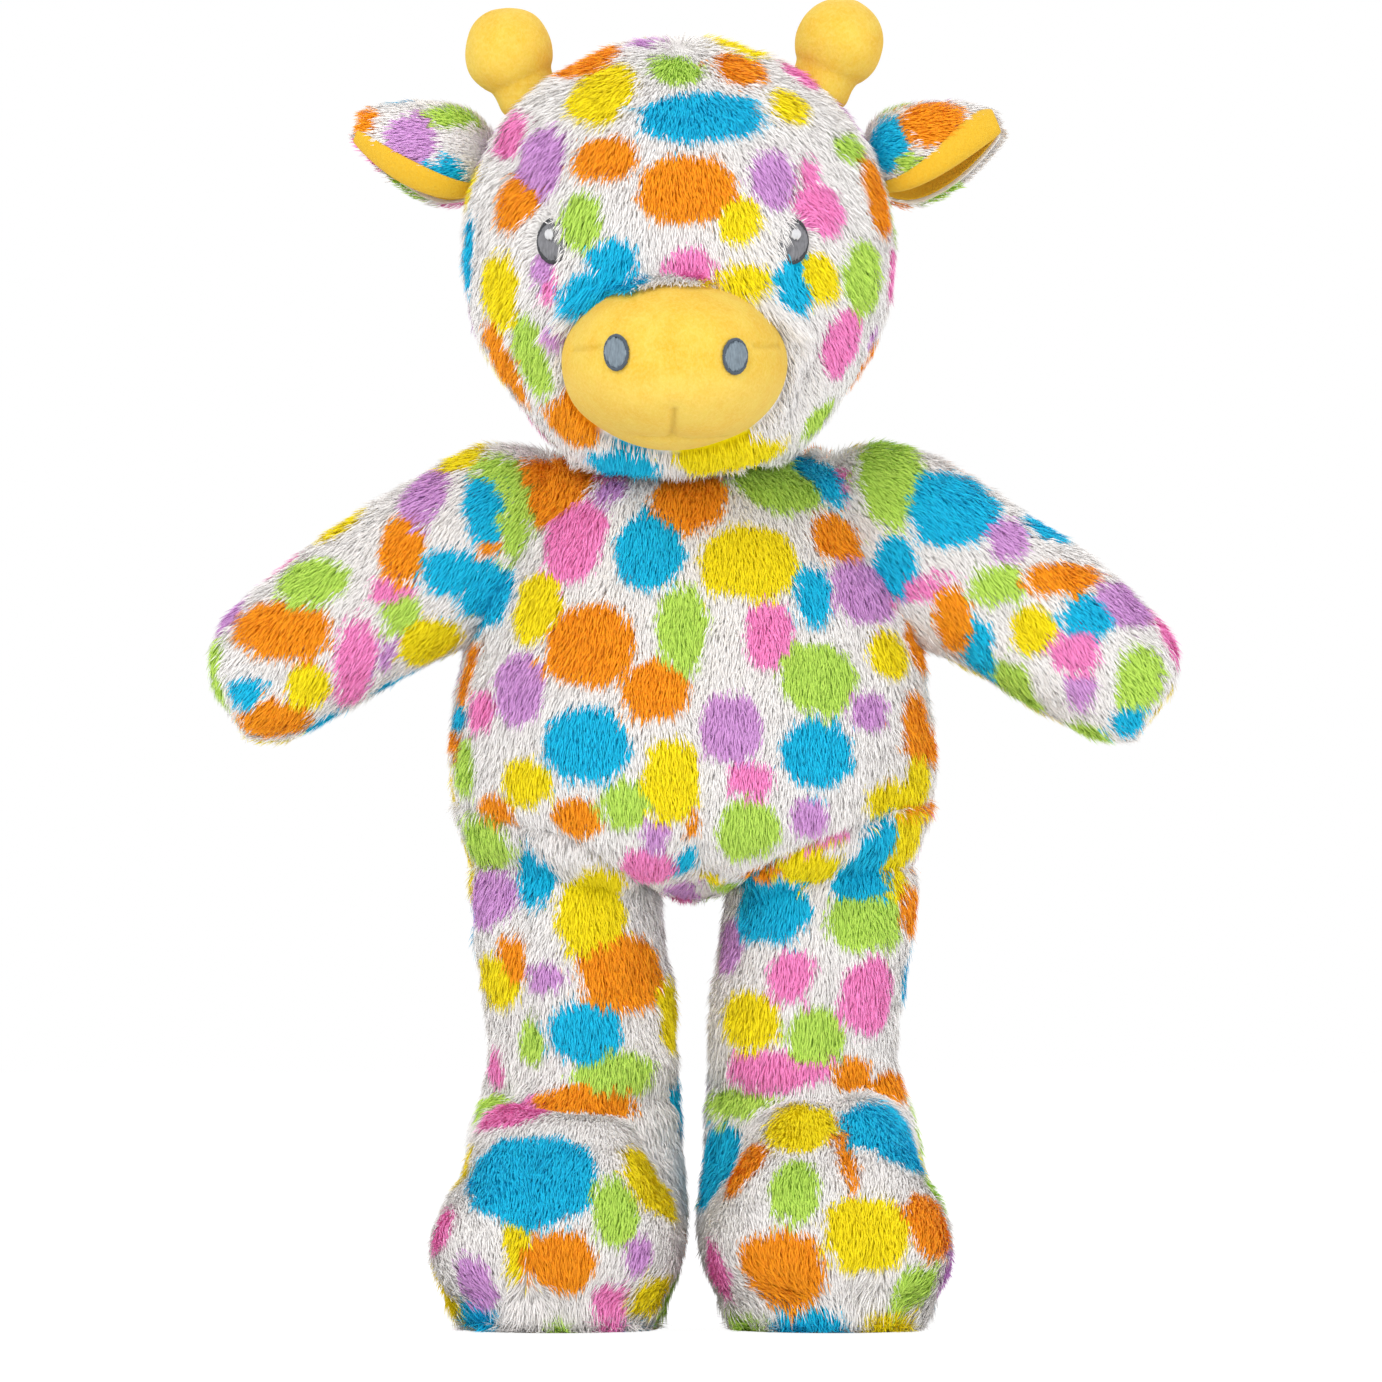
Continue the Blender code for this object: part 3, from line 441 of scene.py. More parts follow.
def surface_of(thing):
    """A shape's surface as it stands, for rays and nearest points."""
    return BVHTree.FromObject(thing, bpy.context.evaluated_depsgraph_get())


def bell(away, reach):
    """1 at no distance, fading over the reach."""
    return np.exp(-((away / reach) ** 2))


def points_of(mesh, kind="vertices", value="co"):
    items = getattr(mesh, kind)
    found = np.empty(len(items) * 3)
    items.foreach_get(value, found)
    return found.reshape(-1, 3)


def move_points(mesh, points):
    mesh.vertices.foreach_set("co", np.ascontiguousarray(points).ravel())
    mesh.update()


def normals_of(mesh):
    return points_of(mesh, "vertex_normals", "vector")


def note(mesh, name, values, kind="FLOAT", domain="POINT"):
    """Keeps a value for each point or face as an attribute."""
    made = mesh.attributes.get(name) or mesh.attributes.new(name, kind, domain)
    field = {"FLOAT": "value", "INT": "value", "FLOAT_VECTOR": "vector", "FLOAT_COLOR": "color"}[kind]
    values = np.ascontiguousarray(values, np.int32 if kind == "INT" else np.float32)
    made.data.foreach_set(field, values.ravel())


def hull(name, points):
    work = bmesh.new()
    for p in points:
        work.verts.new(p)
    done = bmesh.ops.convex_hull(work, input=work.verts)
    inner = {g for g in done["geom_interior"] + done["geom_unused"] if isinstance(g, bmesh.types.BMVert)}
    bmesh.ops.delete(work, geom=list(inner), context="VERTS")
    return put(name, finish_mesh(work, name))


def hip_block(side):
    """Everything on one side that lies under the hip seam."""
    work = bmesh.new()
    line = [(side * x, z) for x, z in HIP_SEAM]
    line += [(side * HIP_SEAM[-1][0], 0.10), (side * HIP_SEAM[0][0], 0.10)]
    loops = [[work.verts.new((x, y, z)) for x, z in line] for y in (-0.12, 0.12)]
    for loop in loops:
        work.faces.new(loop)
    for i in range(len(line)):
        j = (i + 1) % len(line)
        work.faces.new((loops[0][i], loops[0][j], loops[1][j], loops[1][i]))
    return put("hip_block", finish_mesh(work, "hip_block"))


def dome_rings(pivot, way, across, deep, radius, half_depth, fullness=1.0):
    rings = []
    for angle in DOME_ANGLES:
        turn = math.radians(angle)
        middle = pivot - way * radius * math.cos(turn)
        half = across * radius * math.sin(turn) ** fullness
        rings.append((middle, half, deep * half_depth * math.sin(turn)))
    return rings


def torso_form():
    rings = []
    for up, width, depth, forward in TORSO_SHARES:
        y = TORSO_Y - forward * BELLY_FORWARD * TORSO_HALF_DEPTH
        middle = Vector((0, y, TORSO_BOTTOM_Z + up * (TORSO_TOP_Z - TORSO_BOTTOM_Z)))
        across = Vector((width * TORSO_HALF_WIDTH, 0, 0))
        rings.append((middle, across, Vector((0, depth * TORSO_HALF_DEPTH, 0))))
    ends = [Vector((0, TORSO_Y, z)) for z in (TORSO_TOP_Z, TORSO_BOTTOM_Z)]
    return loft("torso", ends[0], rings, ends[1], 12)


def head_form():
    rings = []
    for angle in HEAD_ANGLES:
        turn = math.radians(angle)
        half = HEAD_TOP_Z - HEAD_WIDEST_Z if angle <= 90 else HEAD_WIDEST_Z - CHIN_Z
        forward = CHIN_FORWARD * max(0.0, -math.cos(turn))
        size = math.sin(turn) ** 0.88
        middle = Vector((HEAD_X, HEAD_Y - forward, HEAD_WIDEST_Z + half * math.cos(turn)))
        rings.append((middle, Vector((size * HEAD_HALF_WIDTH, 0, 0)), Vector((0, size * HEAD_HALF_DEPTH, 0))))
    top = Vector((HEAD_X, HEAD_Y, HEAD_TOP_Z))
    return loft("head", top, rings, Vector((HEAD_X, HEAD_Y - CHIN_FORWARD, CHIN_Z)), 12)


def neck_room():
    points = [Vector((0, TORSO_Y, TORSO_TOP_Z + ROOM_GAP))]
    for up, width, depth, forward in TORSO_SHARES:
        z = TORSO_BOTTOM_Z + up * (TORSO_TOP_Z - TORSO_BOTTOM_Z)
        lean = forward * BELLY_FORWARD * TORSO_HALF_DEPTH
        radius = max(width * TORSO_HALF_WIDTH, depth * TORSO_HALF_DEPTH + lean) + ROOM_GAP
        if z > SHOULDER_Z:
            for i in range(32):
                turn = 2 * math.pi * i / 32
                out = Vector((math.cos(turn), math.sin(turn), 0)) * radius
                points.append(Vector((0, TORSO_Y, z + ROOM_GAP)) + out)
    return hull("neck_room", points)


def snout_form():
    rings = []
    for angle in SNOUT_ANGLES:
        turn = math.radians(angle)
        size = math.sin(turn) ** 0.72
        middle = Vector((FACE_X, SNOUT_Y + SNOUT_REACH * math.cos(turn), SNOUT_Z))
        across = Vector((size * SNOUT_HALF_WIDTH, 0, 0))
        rings.append((middle, across, Vector((0, 0, size * SNOUT_HALF_HEIGHT))))
    ends = [Vector((FACE_X, SNOUT_Y + by, SNOUT_Z)) for by in (SNOUT_REACH, -SNOUT_REACH)]
    return loft("snout", ends[0], rings, ends[1], 8)


def arm_way(side):
    droop = math.radians(ARM_DROOP)
    return Vector((side * math.cos(droop), 0, -math.sin(droop)))


def arm_form(side, side_name):
    pivot, way, deep = Vector((side * SHOULDER_X, MIDDLE_Y, SHOULDER_Z)), arm_way(side), Vector((0, 1, 0))
    across = way.cross(deep)
    length = []
    for along, height, depth, above in ARM_SHARES:
        rise = across * side * above * ARM_HALF_HEIGHT
        middle = pivot + way * along * ARM_REACH + rise
        length.append((middle, across * height * ARM_HALF_HEIGHT, deep * depth * ARM_HALF_DEPTH))
    rings = dome_rings(pivot, way, across, deep, SHOULDER_RADIUS, ARM_HALF_DEPTH) + length
    name = f"arm_{side_name}"
    return rounded(loft(name, pivot - way * SHOULDER_RADIUS, rings, pivot + way * ARM_REACH + rise, 8))


def leg_form(side, side_name):
    pivot = Vector((side * HIP_X, HIP_Y, HIP_Z))
    across, deep, down = Vector((1, 0, 0)), Vector((0, 1, 0)), Vector((0, 0, -1))
    rings = dome_rings(pivot, down, across, deep, HIP_RADIUS, HIP_RADIUS, 0.55)
    for fall, width, inward in LEG_SHARES:
        half = width * CALF_HALF_WIDTH
        shift = across * -side * inward * CALF_HALF_WIDTH
        rings.append((pivot + down * fall * (HIP_Z - ANKLE_Z) + shift, across * half, deep * half))
    fold = Vector((pivot.x + shift.x, FOLD_Y, FOLD_Z))
    for angle, length, width in HEEL_SHARES:
        turn = math.radians(angle)
        reach = Vector((0, math.cos(turn), -math.sin(turn))) * length * CALF_HALF_WIDTH
        middle = fold + reach + across * (side * FOOT_X - fold.x) * angle / 90
        rings.append((middle, across * width * FOOT_HALF_WIDTH, reach))
    for along, fall, width in FOOT_SHARES:
        top = INSTEP_Z + fall * (TOE_Z - INSTEP_Z)
        bottom = along**4 * (TOE_Z + FOOT_SUNK) - FOOT_SUNK
        middle = Vector((side * (FOOT_X + along * TOE_OUT), FOLD_Y - along * FOOT_AHEAD, (top + bottom) / 2))
        rings.append((middle, across * width * FOOT_HALF_WIDTH, Vector((0, 0, (bottom - top) / 2))))
    toe = Vector((side * (FOOT_X + TOE_OUT), FOLD_Y - FOOT_AHEAD, TOE_Z))
    name = f"leg_{side_name}"
    return rounded(loft(name, pivot - down * HIP_RADIUS, rings, toe, 8))


def floor_cutter(top):
    work = bmesh.new()
    bmesh.ops.create_cube(work, size=1.0)
    place = Matrix.Translation((0, 0, top - 0.02)) @ Matrix.Diagonal((0.4, 0.4, 0.04, 1))
    bmesh.ops.transform(work, matrix=place, verts=work.verts)
    return put("floor_cutter", finish_mesh(work, "floor_cutter"))


def instep_wedge(side):
    """What fills the corner between the shin and the foot's top."""
    points = []
    for ahead, top, width in INSTEP:
        for i in range(13):
            turn = math.pi * i / 12
            x, z = width * math.cos(turn), INSTEP_BASE + (top - INSTEP_BASE) * math.sin(turn) ** 0.8
            points.append((side * FOOT_X + x, FOLD_Y - ahead, z))
        points.append((side * FOOT_X, FOLD_Y - ahead, 0.030))
    return hull("instep_wedge", points)


def backing(name, form, cuts=(), sunk=PILE_SUNK, step=SKIN_STEP, joined=()):
    """The form this far under its surface, less the cuts and with what is joined, as an even mesh."""
    changed(form, "DISPLACE", strength=-sunk, mid_level=0.0)
    bpy.context.view_layer.update()
    whole = surface_of(form)
    for other in joined:
        changed(form, "BOOLEAN", operation="UNION", solver="EXACT", object=other)
    for cut in cuts:
        changed(form, "BOOLEAN", operation="DIFFERENCE", solver="EXACT", object=cut)
    changed(form, "REMESH", mode="VOXEL", voxel_size=step, use_smooth_shade=True)
    changed(form, "SMOOTH", factor=0.5, iterations=7)
    made = plain(form, name)
    biggest_shell(made.data)
    return made, whole


def biggest_shell(mesh):
    """Drops loose crumbs that a cut or a remesh can leave."""
    work = bmesh.new()
    work.from_mesh(mesh)
    left, shells = set(work.verts), []
    while left:
        shell, edge = set(), [left.pop()]
        while edge:
            v = edge.pop()
            shell.add(v)
            for e in v.link_edges:
                other = e.other_vert(v)
                if other in left:
                    left.discard(other)
                    edge.append(other)
        shells.append(shell)
    shells.sort(key=len)
    for shell in shells[:-1]:
        bmesh.ops.delete(work, geom=list(shell), context="VERTS")
    work.to_mesh(mesh)
    work.free()
    mesh.shade_smooth()


# Where the photograph's pixels fall on the toy

MIDDLE_OF_PHOTO = PHOTO_PIXELS / 2
CAMERA_AT = Vector(
    ((MIDDLE_OF_PHOTO - MIDDLE_PIXEL) * PIXEL, -CAMERA_DISTANCE, (FLOOR_PIXEL - MIDDLE_OF_PHOTO) * PIXEL)
)


def sight(x, y):
    """The camera's direction through a pixel of the photograph."""
    aim = Vector(((x - MIDDLE_PIXEL) * PIXEL, 0, (FLOOR_PIXEL - y) * PIXEL))
    return (aim - CAMERA_AT).normalized()


def seen_at(tree, x, y, depth=0.0):
    """The point and normal of a surface under a pixel, or the nearest to it where the pixel misses."""
    way = sight(x, y)
    place, normal, _, _ = tree.ray_cast(CAMERA_AT, way)
    if place is None:
        aim = CAMERA_AT + way * ((depth - CAMERA_AT.y) / way.y)
        place, normal, _, _ = tree.find_nearest(aim)
    return place, normal


def seen_path(tree, pixels, step=6.0):
    """A line of pixels laid on a surface."""
    path = []
    for (x0, y0), (x1, y1) in zip(pixels, pixels[1:]):
        count = max(1, int(math.hypot(x1 - x0, y1 - y0) / step))
        for i in range(count):
            way = sight(x0 + (x1 - x0) * i / count, y0 + (y1 - y0) * i / count)
            place, _, _, _ = tree.ray_cast(CAMERA_AT, way)
            if place is not None:
                path.append(place)
    return path


def around_path(tree, places, way):
    """A line of points dropped on a surface along a direction."""
    path = []
    for place in places:
        found, _, _, _ = tree.ray_cast(Vector(place) - Vector(way) * 0.3, Vector(way))
        if found is not None:
            path.append(found)
    return path


def to_path(points, path):
    """Each point's distance from a line of points."""
    path = np.array(path, float)
    best = np.full(len(points), 1e9)
    for a, b in zip(path, path[1:]):
        along = b - a
        size = max(along @ along, 1e-12)
        if size > 0.012**2:
            continue
        t = np.clip((points - a) @ along / size, 0, 1)[:, None]
        best = np.minimum(best, np.linalg.norm(points - a - t * along, axis=1))
    return best


def lumps(points, scale, seed):
    """Smooth noise from -1 to 1 at each point."""
    shift = Vector((seed * 7.3, seed * 3.1, seed * 5.7))
    return np.array([noise.noise(Vector(p) * scale + shift) for p in points])


def wander(points, scale, seed):
    return np.stack([lumps(points, scale, seed + k * 11) for k in range(3)], axis=1)


SEAMS = {  # the seams that the photograph shows, in its pixels
    "torso": [[(698, 560), (698, 730), (699, 890)]],
    "head": [[(500, 140), (530, 180), (556, 220)], [(805, 160), (798, 190), (790, 215)]],
    "leg_right": [
        [(526, 833), (524, 960), (530, 1075)],
        [(545, 1150), (525, 1210), (527, 1270), (530, 1300)],
    ],
    "leg_left": [
        [(850, 870), (842, 940), (838, 1010), (850, 1080)],
        [(830, 1110), (850, 1165), (858, 1185), (877, 1220), (880, 1290)],
    ],
}
FOLDS = {  # its creases, each with its depth and reach in metres
    "torso": [([(888, 798), (900, 803)], 0.0035, 0.006), ([(514, 818), (526, 824)], 0.0025, 0.006)],
    "head": [([(825, 330), (806, 370), (795, 408)], 0.002, 0.004)],
    "snout": [
        ([(563, 350), (590, 347), (606, 345)], 0.0007, 0.0012),
        ([(757, 345), (768, 346), (788, 343)], 0.0007, 0.0012),
        ([(674, 412), (673, 428), (671, 450)], 0.0013, 0.0012),
        ([(640, 440), (672, 444), (700, 443), (740, 438)], 0.0010, 0.0016),
    ],
    "arm_left": [
        ([(1000, 612), (1008, 628)], 0.003, 0.006),
        ([(1005, 620), (1050, 655), (1120, 690)], 0.0012, 0.004),
    ],
    "arm_right": [([(276, 674), (288, 686)], 0.003, 0.006)],
    "leg_right": [([(500, 1088), (531, 1100), (590, 1112), (642, 1100), (680, 1086)], 0.0032, 0.005)],
    "leg_left": [([(705, 1088), (760, 1094), (830, 1090), (880, 1080)], 0.0032, 0.005)],
}
DEEPEST_SEAM = 0.0016  # of the snout, where the painted shade in its seams is darkest


def settle(skin, seams, folds=(), lump=0.0011, seed=1):
    """Draws a skin in along its seams and folds, and gives it a stuffed toy's soft lumps."""
    mesh = skin.data
    points, normals = points_of(mesh), normals_of(mesh)
    pull = lump * lumps(points, 42, seed) + 0.5 * lump * lumps(points, 95, seed + 1)
    drawn = [(path, SEAM_DRAWN) for path in seams] + [(path, [(depth, reach)]) for path, depth, reach in folds]
    for path, widths in drawn:
        if len(path) > 1:
            away = to_path(points, path)
            for depth, reach in widths:
                pull = pull - depth * bell(away, reach)
    move_points(mesh, points + normals * pull[:, None])


def seen_seams(tree, part):
    return [seen_path(tree, pixels) for pixels in SEAMS[part]]


def seen_folds(tree, part):
    return [(seen_path(tree, pixels), depth, reach) for pixels, depth, reach in FOLDS[part]]


# Spots


def seen_spots(trees, named):
    """Spots of the photograph, each where its pixel box falls on the nearest surface."""
    spots = []
    for tone, boxes in named.items():
        for x0, y0, x1, y1 in boxes:
            way = sight((x0 + x1) / 2, (y0 + y1) / 2)
            hits = [hit for hit in (tree.ray_cast(CAMERA_AT, way) for tree in trees) if hit[0] is not None]
            if hits:
                place, normal = min(hits, key=lambda hit: hit[3])[:2]
            else:
                place, normal = seen_at(trees[0], (x0 + x1) / 2, (y0 + y1) / 2, MIDDLE_Y - 0.02)
            scale = PIXEL * (place.y - CAMERA_AT.y) / CAMERA_DISTANCE
            level = Vector((-normal.y, normal.x, 0))
            level = level.normalized() if level.length > 0.05 else Vector((1, 0, 0))
            if level.x < 0:
                level = -level
            rise = normal.cross(level) * (1 if normal.cross(level).z >= 0 else -1)
            wide = (x1 - x0) / 2 * scale / max(abs(level.x), 0.6)
            tall = (y1 - y0) / 2 * scale / max(abs(rise.z), 0.6)
            spots.append((place, normal, level, rise, wide, tall, TONES.index(tone)))
    return spots


def lay_spots(skin, seen, seed, front=True, size=(0.0066, 0.0112), count=90):
    """Each point's depth inside the nearest spot, and that spot's tone. Where the photograph shows no
    spots, the skin has others of the same sizes."""
    mesh = skin.data
    points, normals = points_of(mesh), normals_of(mesh)
    low, high = points.min(axis=0) - 0.02, points.max(axis=0) + 0.02
    spots = [spot for spot in seen if all(low[k] < spot[0][k] < high[k] for k in range(3))]
    pick = np.random.default_rng(seed)
    order = pick.permutation(len(points))
    made = 0
    for i in order:
        if made >= count:
            break
        place, normal = Vector(points[i]), Vector(normals[i])
        if front and -normal.y > 0.22:
            continue
        wide, tall = pick.uniform(*size), pick.uniform(*size)
        gap = 0.0028
        if any((place - s[0]).length < 0.92 * ((wide + tall) / 2 + (s[4] + s[5]) / 2) + gap for s in spots):
            continue
        near = sorted(spots, key=lambda s: (s[0] - place).length)[:4]
        free = [k for k in range(1, len(TONES)) if k not in [s[6] for s in near]]
        level = normal.orthogonal().normalized()
        level = Matrix.Rotation(pick.uniform(0, math.pi), 3, normal) @ level
        spots.append((place, normal, level, normal.cross(level), wide, tall, int(pick.choice(free))))
        made += 1
    warped = points + 0.0016 * wander(points, 150, seed) + 0.0007 * wander(points, 420, seed + 3)
    edge, tones = np.full(len(points), -1.0), np.zeros(len(points), int)
    for place, normal, level, rise, wide, tall, tone in spots:
        out = warped - np.array(place)
        deep = out @ np.array(normal)
        apart = np.sqrt(
            np.abs(out @ np.array(level) / wide) ** SPOT_ROUNDNESS
            + np.abs(out @ np.array(rise) / tall) ** SPOT_ROUNDNESS
            + np.abs(deep / (1.3 * max(wide, tall))) ** SPOT_ROUNDNESS
        )
        inside = (1 - apart ** (2 / SPOT_ROUNDNESS)) * min(wide, tall)
        inside[normals @ np.array(normal) < -0.1] = -1.0
        better = inside > edge
        edge[better], tones[better] = inside[better], tone
    note(mesh, "spot_edge", edge)
    faces = np.empty(len(mesh.polygons), np.int32)
    first = np.empty(len(mesh.polygons), np.int32)
    mesh.polygons.foreach_get("loop_start", first)
    corners = np.empty(len(mesh.loops), np.int32)
    mesh.loops.foreach_get("vertex_index", corners)
    faces[:] = tones[corners[first]]
    note(mesh, "spot_tone", faces, "INT", "FACE")
    table = np.array([paint(tone) for tone in TONES])
    share = np.clip(edge / 0.0012 + 0.5, 0, 1)[:, None]
    note(mesh, "pile_colour", table[0] * (1 - share) + table[tones] * share, "FLOAT_COLOR")


def comb_along(skin, way, cover=None, length=None, lift=None):
    """The pile's direction, its cover and its length at each point. Lift stands it up."""
    mesh = skin.data
    normals = normals_of(mesh)
    way = np.broadcast_to(np.asarray(way, float), normals.shape)
    flat = way - normals * np.sum(way * normals, axis=1)[:, None]
    size = np.linalg.norm(flat, axis=1)[:, None]
    flat = flat / np.maximum(size, 0.25)
    if lift is not None:
        flat = flat + normals * np.asarray(lift, float)[:, None]
    note(mesh, "comb", flat, "FLOAT_VECTOR")
    ones = np.ones(len(normals))
    note(mesh, "pile_cover", ones if cover is None else cover)
    note(mesh, "pile_length", ones if length is None else length)


# Pile and stitches, as Geometry Nodes


def blade():
    """One strand: a bent blade, a unit wide and long, four corners."""
    mesh = bpy.data.meshes.new("strand_blade")
    corners = [(0, 0, 0), (0.5, 0, 0.45), (0, 0, 1), (-0.5, 0, 0.45)]
    mesh.from_pydata(corners, [], [(0, 1, 3), (1, 2, 3)])
    made = put("strand_blade", mesh)
    return made


def pile_tree():
    group = bpy.data.node_groups.new("plush_pile", "GeometryNodeTree")
    face = group.interface
    face.new_socket("Geometry", in_out="OUTPUT", socket_type="NodeSocketGeometry")
    face.new_socket("Geometry", in_out="INPUT", socket_type="NodeSocketGeometry")
    for name, value in (
        ("Strands per square metre", STRANDS), ("Length", PILE_LENGTH), ("Width", STRAND_WIDTH),
        ("Stand", 0.42), ("Ruffle", 0.26), ("Sway", 0.40), ("Arch", 0.16),
        ("Clumps per square metre", 1.6e5), ("Gather", 0.24), ("Floor height", 0.0004), ("Feather", 0.0034),
    ):
        face.new_socket(name, in_out="INPUT", socket_type="NodeSocketFloat").default_value = value
    face.new_socket("Seed", in_out="INPUT", socket_type="NodeSocketInt").default_value = 1
    face.new_socket("Strand", in_out="INPUT", socket_type="NodeSocketObject")
    face.new_socket("Material", in_out="INPUT", socket_type="NodeSocketMaterial")
    tree = Tree(group.nodes, group.links)
    start = tree.node("NodeGroupInput")

    def given(name):
        return tree.out(start, name)

    def named(name, kind="FLOAT"):
        return tree.add("GeometryNodeInputNamedAttribute", {"data_type": kind}, {"Name": name}, "Attribute")

    place = tree.add("GeometryNodeInputPosition")

    def rolled(low, high, shift, kind="FLOAT"):
        seed = given("Seed") + float(shift)
        return tree.add("FunctionNodeRandomValue", {"data_type": kind}, {"Min": low, "Max": high, "Seed": seed})

    def kept(geometry, name, value, kind="FLOAT_VECTOR", domain="POINT"):
        return tree.add(
            "GeometryNodeStoreNamedAttribute", {"data_type": kind, "domain": domain},
            {"Geometry": geometry, "Name": name, "Value": value},
        )

    def scattered(density, shift):
        return tree.node(
            "GeometryNodeDistributePointsOnFaces", {"distribute_method": "RANDOM"},
            {"Mesh": given("Geometry"), "Density": density, "Seed": given("Seed") + float(shift)},
        )

    spread = scattered(given("Strands per square metre") * named("pile_cover"), 0)
    clumps = scattered(given("Clumps per square metre"), 50)
    upright = tree.out(spread, "Normal")
    wave = tree.add("ShaderNodeTexNoise", {}, {"Vector": place, "Scale": 130.0, "Detail": 1.0}, "Color")
    wave = tree.vectors("SUBTRACT", wave, (0.5, 0.5, 0.5))
    way = tree.vectors("ADD", tree.scaled(upright, given("Stand")), named("comb", "FLOAT_VECTOR"))
    ruffled = rolled((-1, -1, -1), (1, 1, 1), 1, "FLOAT_VECTOR")
    way = tree.vectors("ADD", way, tree.scaled(ruffled, given("Ruffle")))
    way = tree.vectors("NORMALIZE", tree.vectors("ADD", way, tree.scaled(wave, given("Sway") * 2.0)))
    length = given("Length") * named("pile_length") * rolled(0.72, 1.12, 2)
    nearest = tree.add(
        "GeometryNodeSampleNearest", {"domain": "POINT"},
        {"Geometry": tree.out(clumps, "Points"), "Sample Position": place},
    )
    centre = tree.add(
        "GeometryNodeSampleIndex", {"data_type": "FLOAT_VECTOR", "domain": "POINT"},
        {"Geometry": tree.out(clumps, "Points"), "Value": place, "Index": nearest},
    )
    gather = tree.scaled(tree.vectors("SUBTRACT", centre, place), given("Gather") * rolled(0.4, 1.0, 5))
    tip = tree.vectors("ADD", tree.scaled(way, length), gather)
    facing = tree.vectors("ADD", upright, tree.scaled(rolled((-1, -1, -1), (1, 1, 1), 3, "FLOAT_VECTOR"), 0.5))
    side = tree.vectors("NORMALIZE", tree.vectors("CROSS_PRODUCT", tip, facing))
    ragged = tree.noise(place, 900.0, 1.0)
    edge = named("spot_edge") + (ragged - 0.5) * given("Feather")
    edge = edge + rolled(-0.5, 0.5, 4) * given("Feather") * 0.6
    tone = named("spot_tone", "INT") * (edge > 0.0)
    column = (tone + rolled(0.14, 0.86, 6)) / float(len(TONES))

    points = tree.out(spread, "Points")
    for name, value, kind in (
        ("root", place, "FLOAT_VECTOR"), ("tip", tip, "FLOAT_VECTOR"), ("side", side, "FLOAT_VECTOR"),
        ("upright", upright, "FLOAT_VECTOR"), ("column", column, "FLOAT"), ("long", length, "FLOAT"),
    ):
        points = kept(points, name, value, kind)
    strand = tree.add("GeometryNodeObjectInfo", {}, {"Object": given("Strand")}, "Geometry")
    strand = kept(strand, "blade", place)
    grown = tree.add("GeometryNodeInstanceOnPoints", {}, {"Points": points, "Instance": strand})
    grown = tree.add("GeometryNodeRealizeInstances", {}, {"Geometry": grown})
    local = tree.node("ShaderNodeSeparateXYZ", inputs={0: named("blade", "FLOAT_VECTOR")})
    across, along = tree.out(local, "X"), tree.out(local, "Z")
    arch = named("long") * given("Arch") * along * (1.0 - along) * 4.0
    shape = tree.vectors("ADD", named("root", "FLOAT_VECTOR"), tree.scaled(named("tip", "FLOAT_VECTOR"), along))
    shape = tree.vectors("ADD", shape, tree.scaled(named("upright", "FLOAT_VECTOR"), arch))
    shape = tree.vectors("ADD", shape, tree.scaled(named("side", "FLOAT_VECTOR"), across * given("Width")))
    shape = tree.vectors("MAXIMUM", shape, tree.joined(-10.0, -10.0, given("Floor height")))
    grown = tree.add("GeometryNodeSetPosition", {}, {"Geometry": grown, "Position": shape})
    flat = tree.joined(named("column") + across * 0.016, along * 0.94 + 0.03, 0.0)
    for name in ("strand", "OFBake"):
        grown = kept(grown, name, flat, "FLOAT2", "CORNER")
    faced = tree.add("GeometryNodeInputNormal")
    soft = tree.vectors("ADD", faced, tree.scaled(named("upright", "FLOAT_VECTOR"), 5.0))
    soft = tree.vectors("NORMALIZE", soft)
    grown = tree.add(
        "GeometryNodeSetMeshNormal", {"mode": "FREE", "domain": "POINT"}, {"Mesh": grown, "Custom Normal": soft}
    )
    for name in ("root", "tip", "side", "upright", "column", "long", "blade", "comb"):
        grown = tree.add("GeometryNodeRemoveAttribute", {}, {"Geometry": grown, "Name": name})
    grown = tree.add("GeometryNodeSetMaterial", {}, {"Geometry": grown, "Material": given("Material")})
    end = tree.node("NodeGroupOutput")
    tree.feed(end, "Geometry", grown)
    return group


def nodes_mesh(source, name, group, **values):
    """Runs a node tree on a copy of the source's mesh, and keeps what it makes as a plain mesh."""
    made = put(name, source.data.copy())
    modifier = made.modifiers.new(group.name, "NODES")
    modifier.node_group = group
    sockets = {s.name: s.identifier for s in group.interface.items_tree if s.in_out == "INPUT"}
    for key, value in values.items():
        modifier[sockets[key.replace("_", " ")]] = value
    bpy.context.view_layer.update()
    ready = made.evaluated_get(bpy.context.evaluated_depsgraph_get())
    mesh = bpy.data.meshes.new_from_object(ready)
    made.modifiers.clear()
    made.data = mesh
    mesh.name = name
    return made


def grow_pile(skin, name, body, seed, half=None, **values):
    """The pile of one skin, or of one half of it, as a piece that rides on its body, or that is only baked in
    place where a bend between two bodies is given.
    """
    mesh = skin.data
    cover = np.empty(len(mesh.vertices))
    mesh.attributes["pile_cover"].data.foreach_get("value", cover)
    if half is not None:
        note(mesh, "pile_cover", cover * half)
    thin = 1.0
    values.setdefault("Strands_per_square_metre", STRANDS)
    values.setdefault("Width", STRAND_WIDTH)
    values["Strands_per_square_metre"] *= thin
    values["Width"] /= thin**0.7
    made = nodes_mesh(skin, name, PILE, Seed=seed, Strand=STRAND, Material=PILE_FINISH, **values)
    if half is not None:
        note(mesh, "pile_cover", cover)
    if isinstance(body, dict):
        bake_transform(made)
    else:
        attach(made, body)
    return made


def grow_halves(skin, name, body, seeds, front):
    """The pile as two pieces, each under the most triangles that a piece may have."""
    for half, seed, share in (("front", seeds[0], front * 1.0), ("back", seeds[1], 1.0 - front)):
        grow_pile(skin, f"{name}_{half}", body, seed, share)


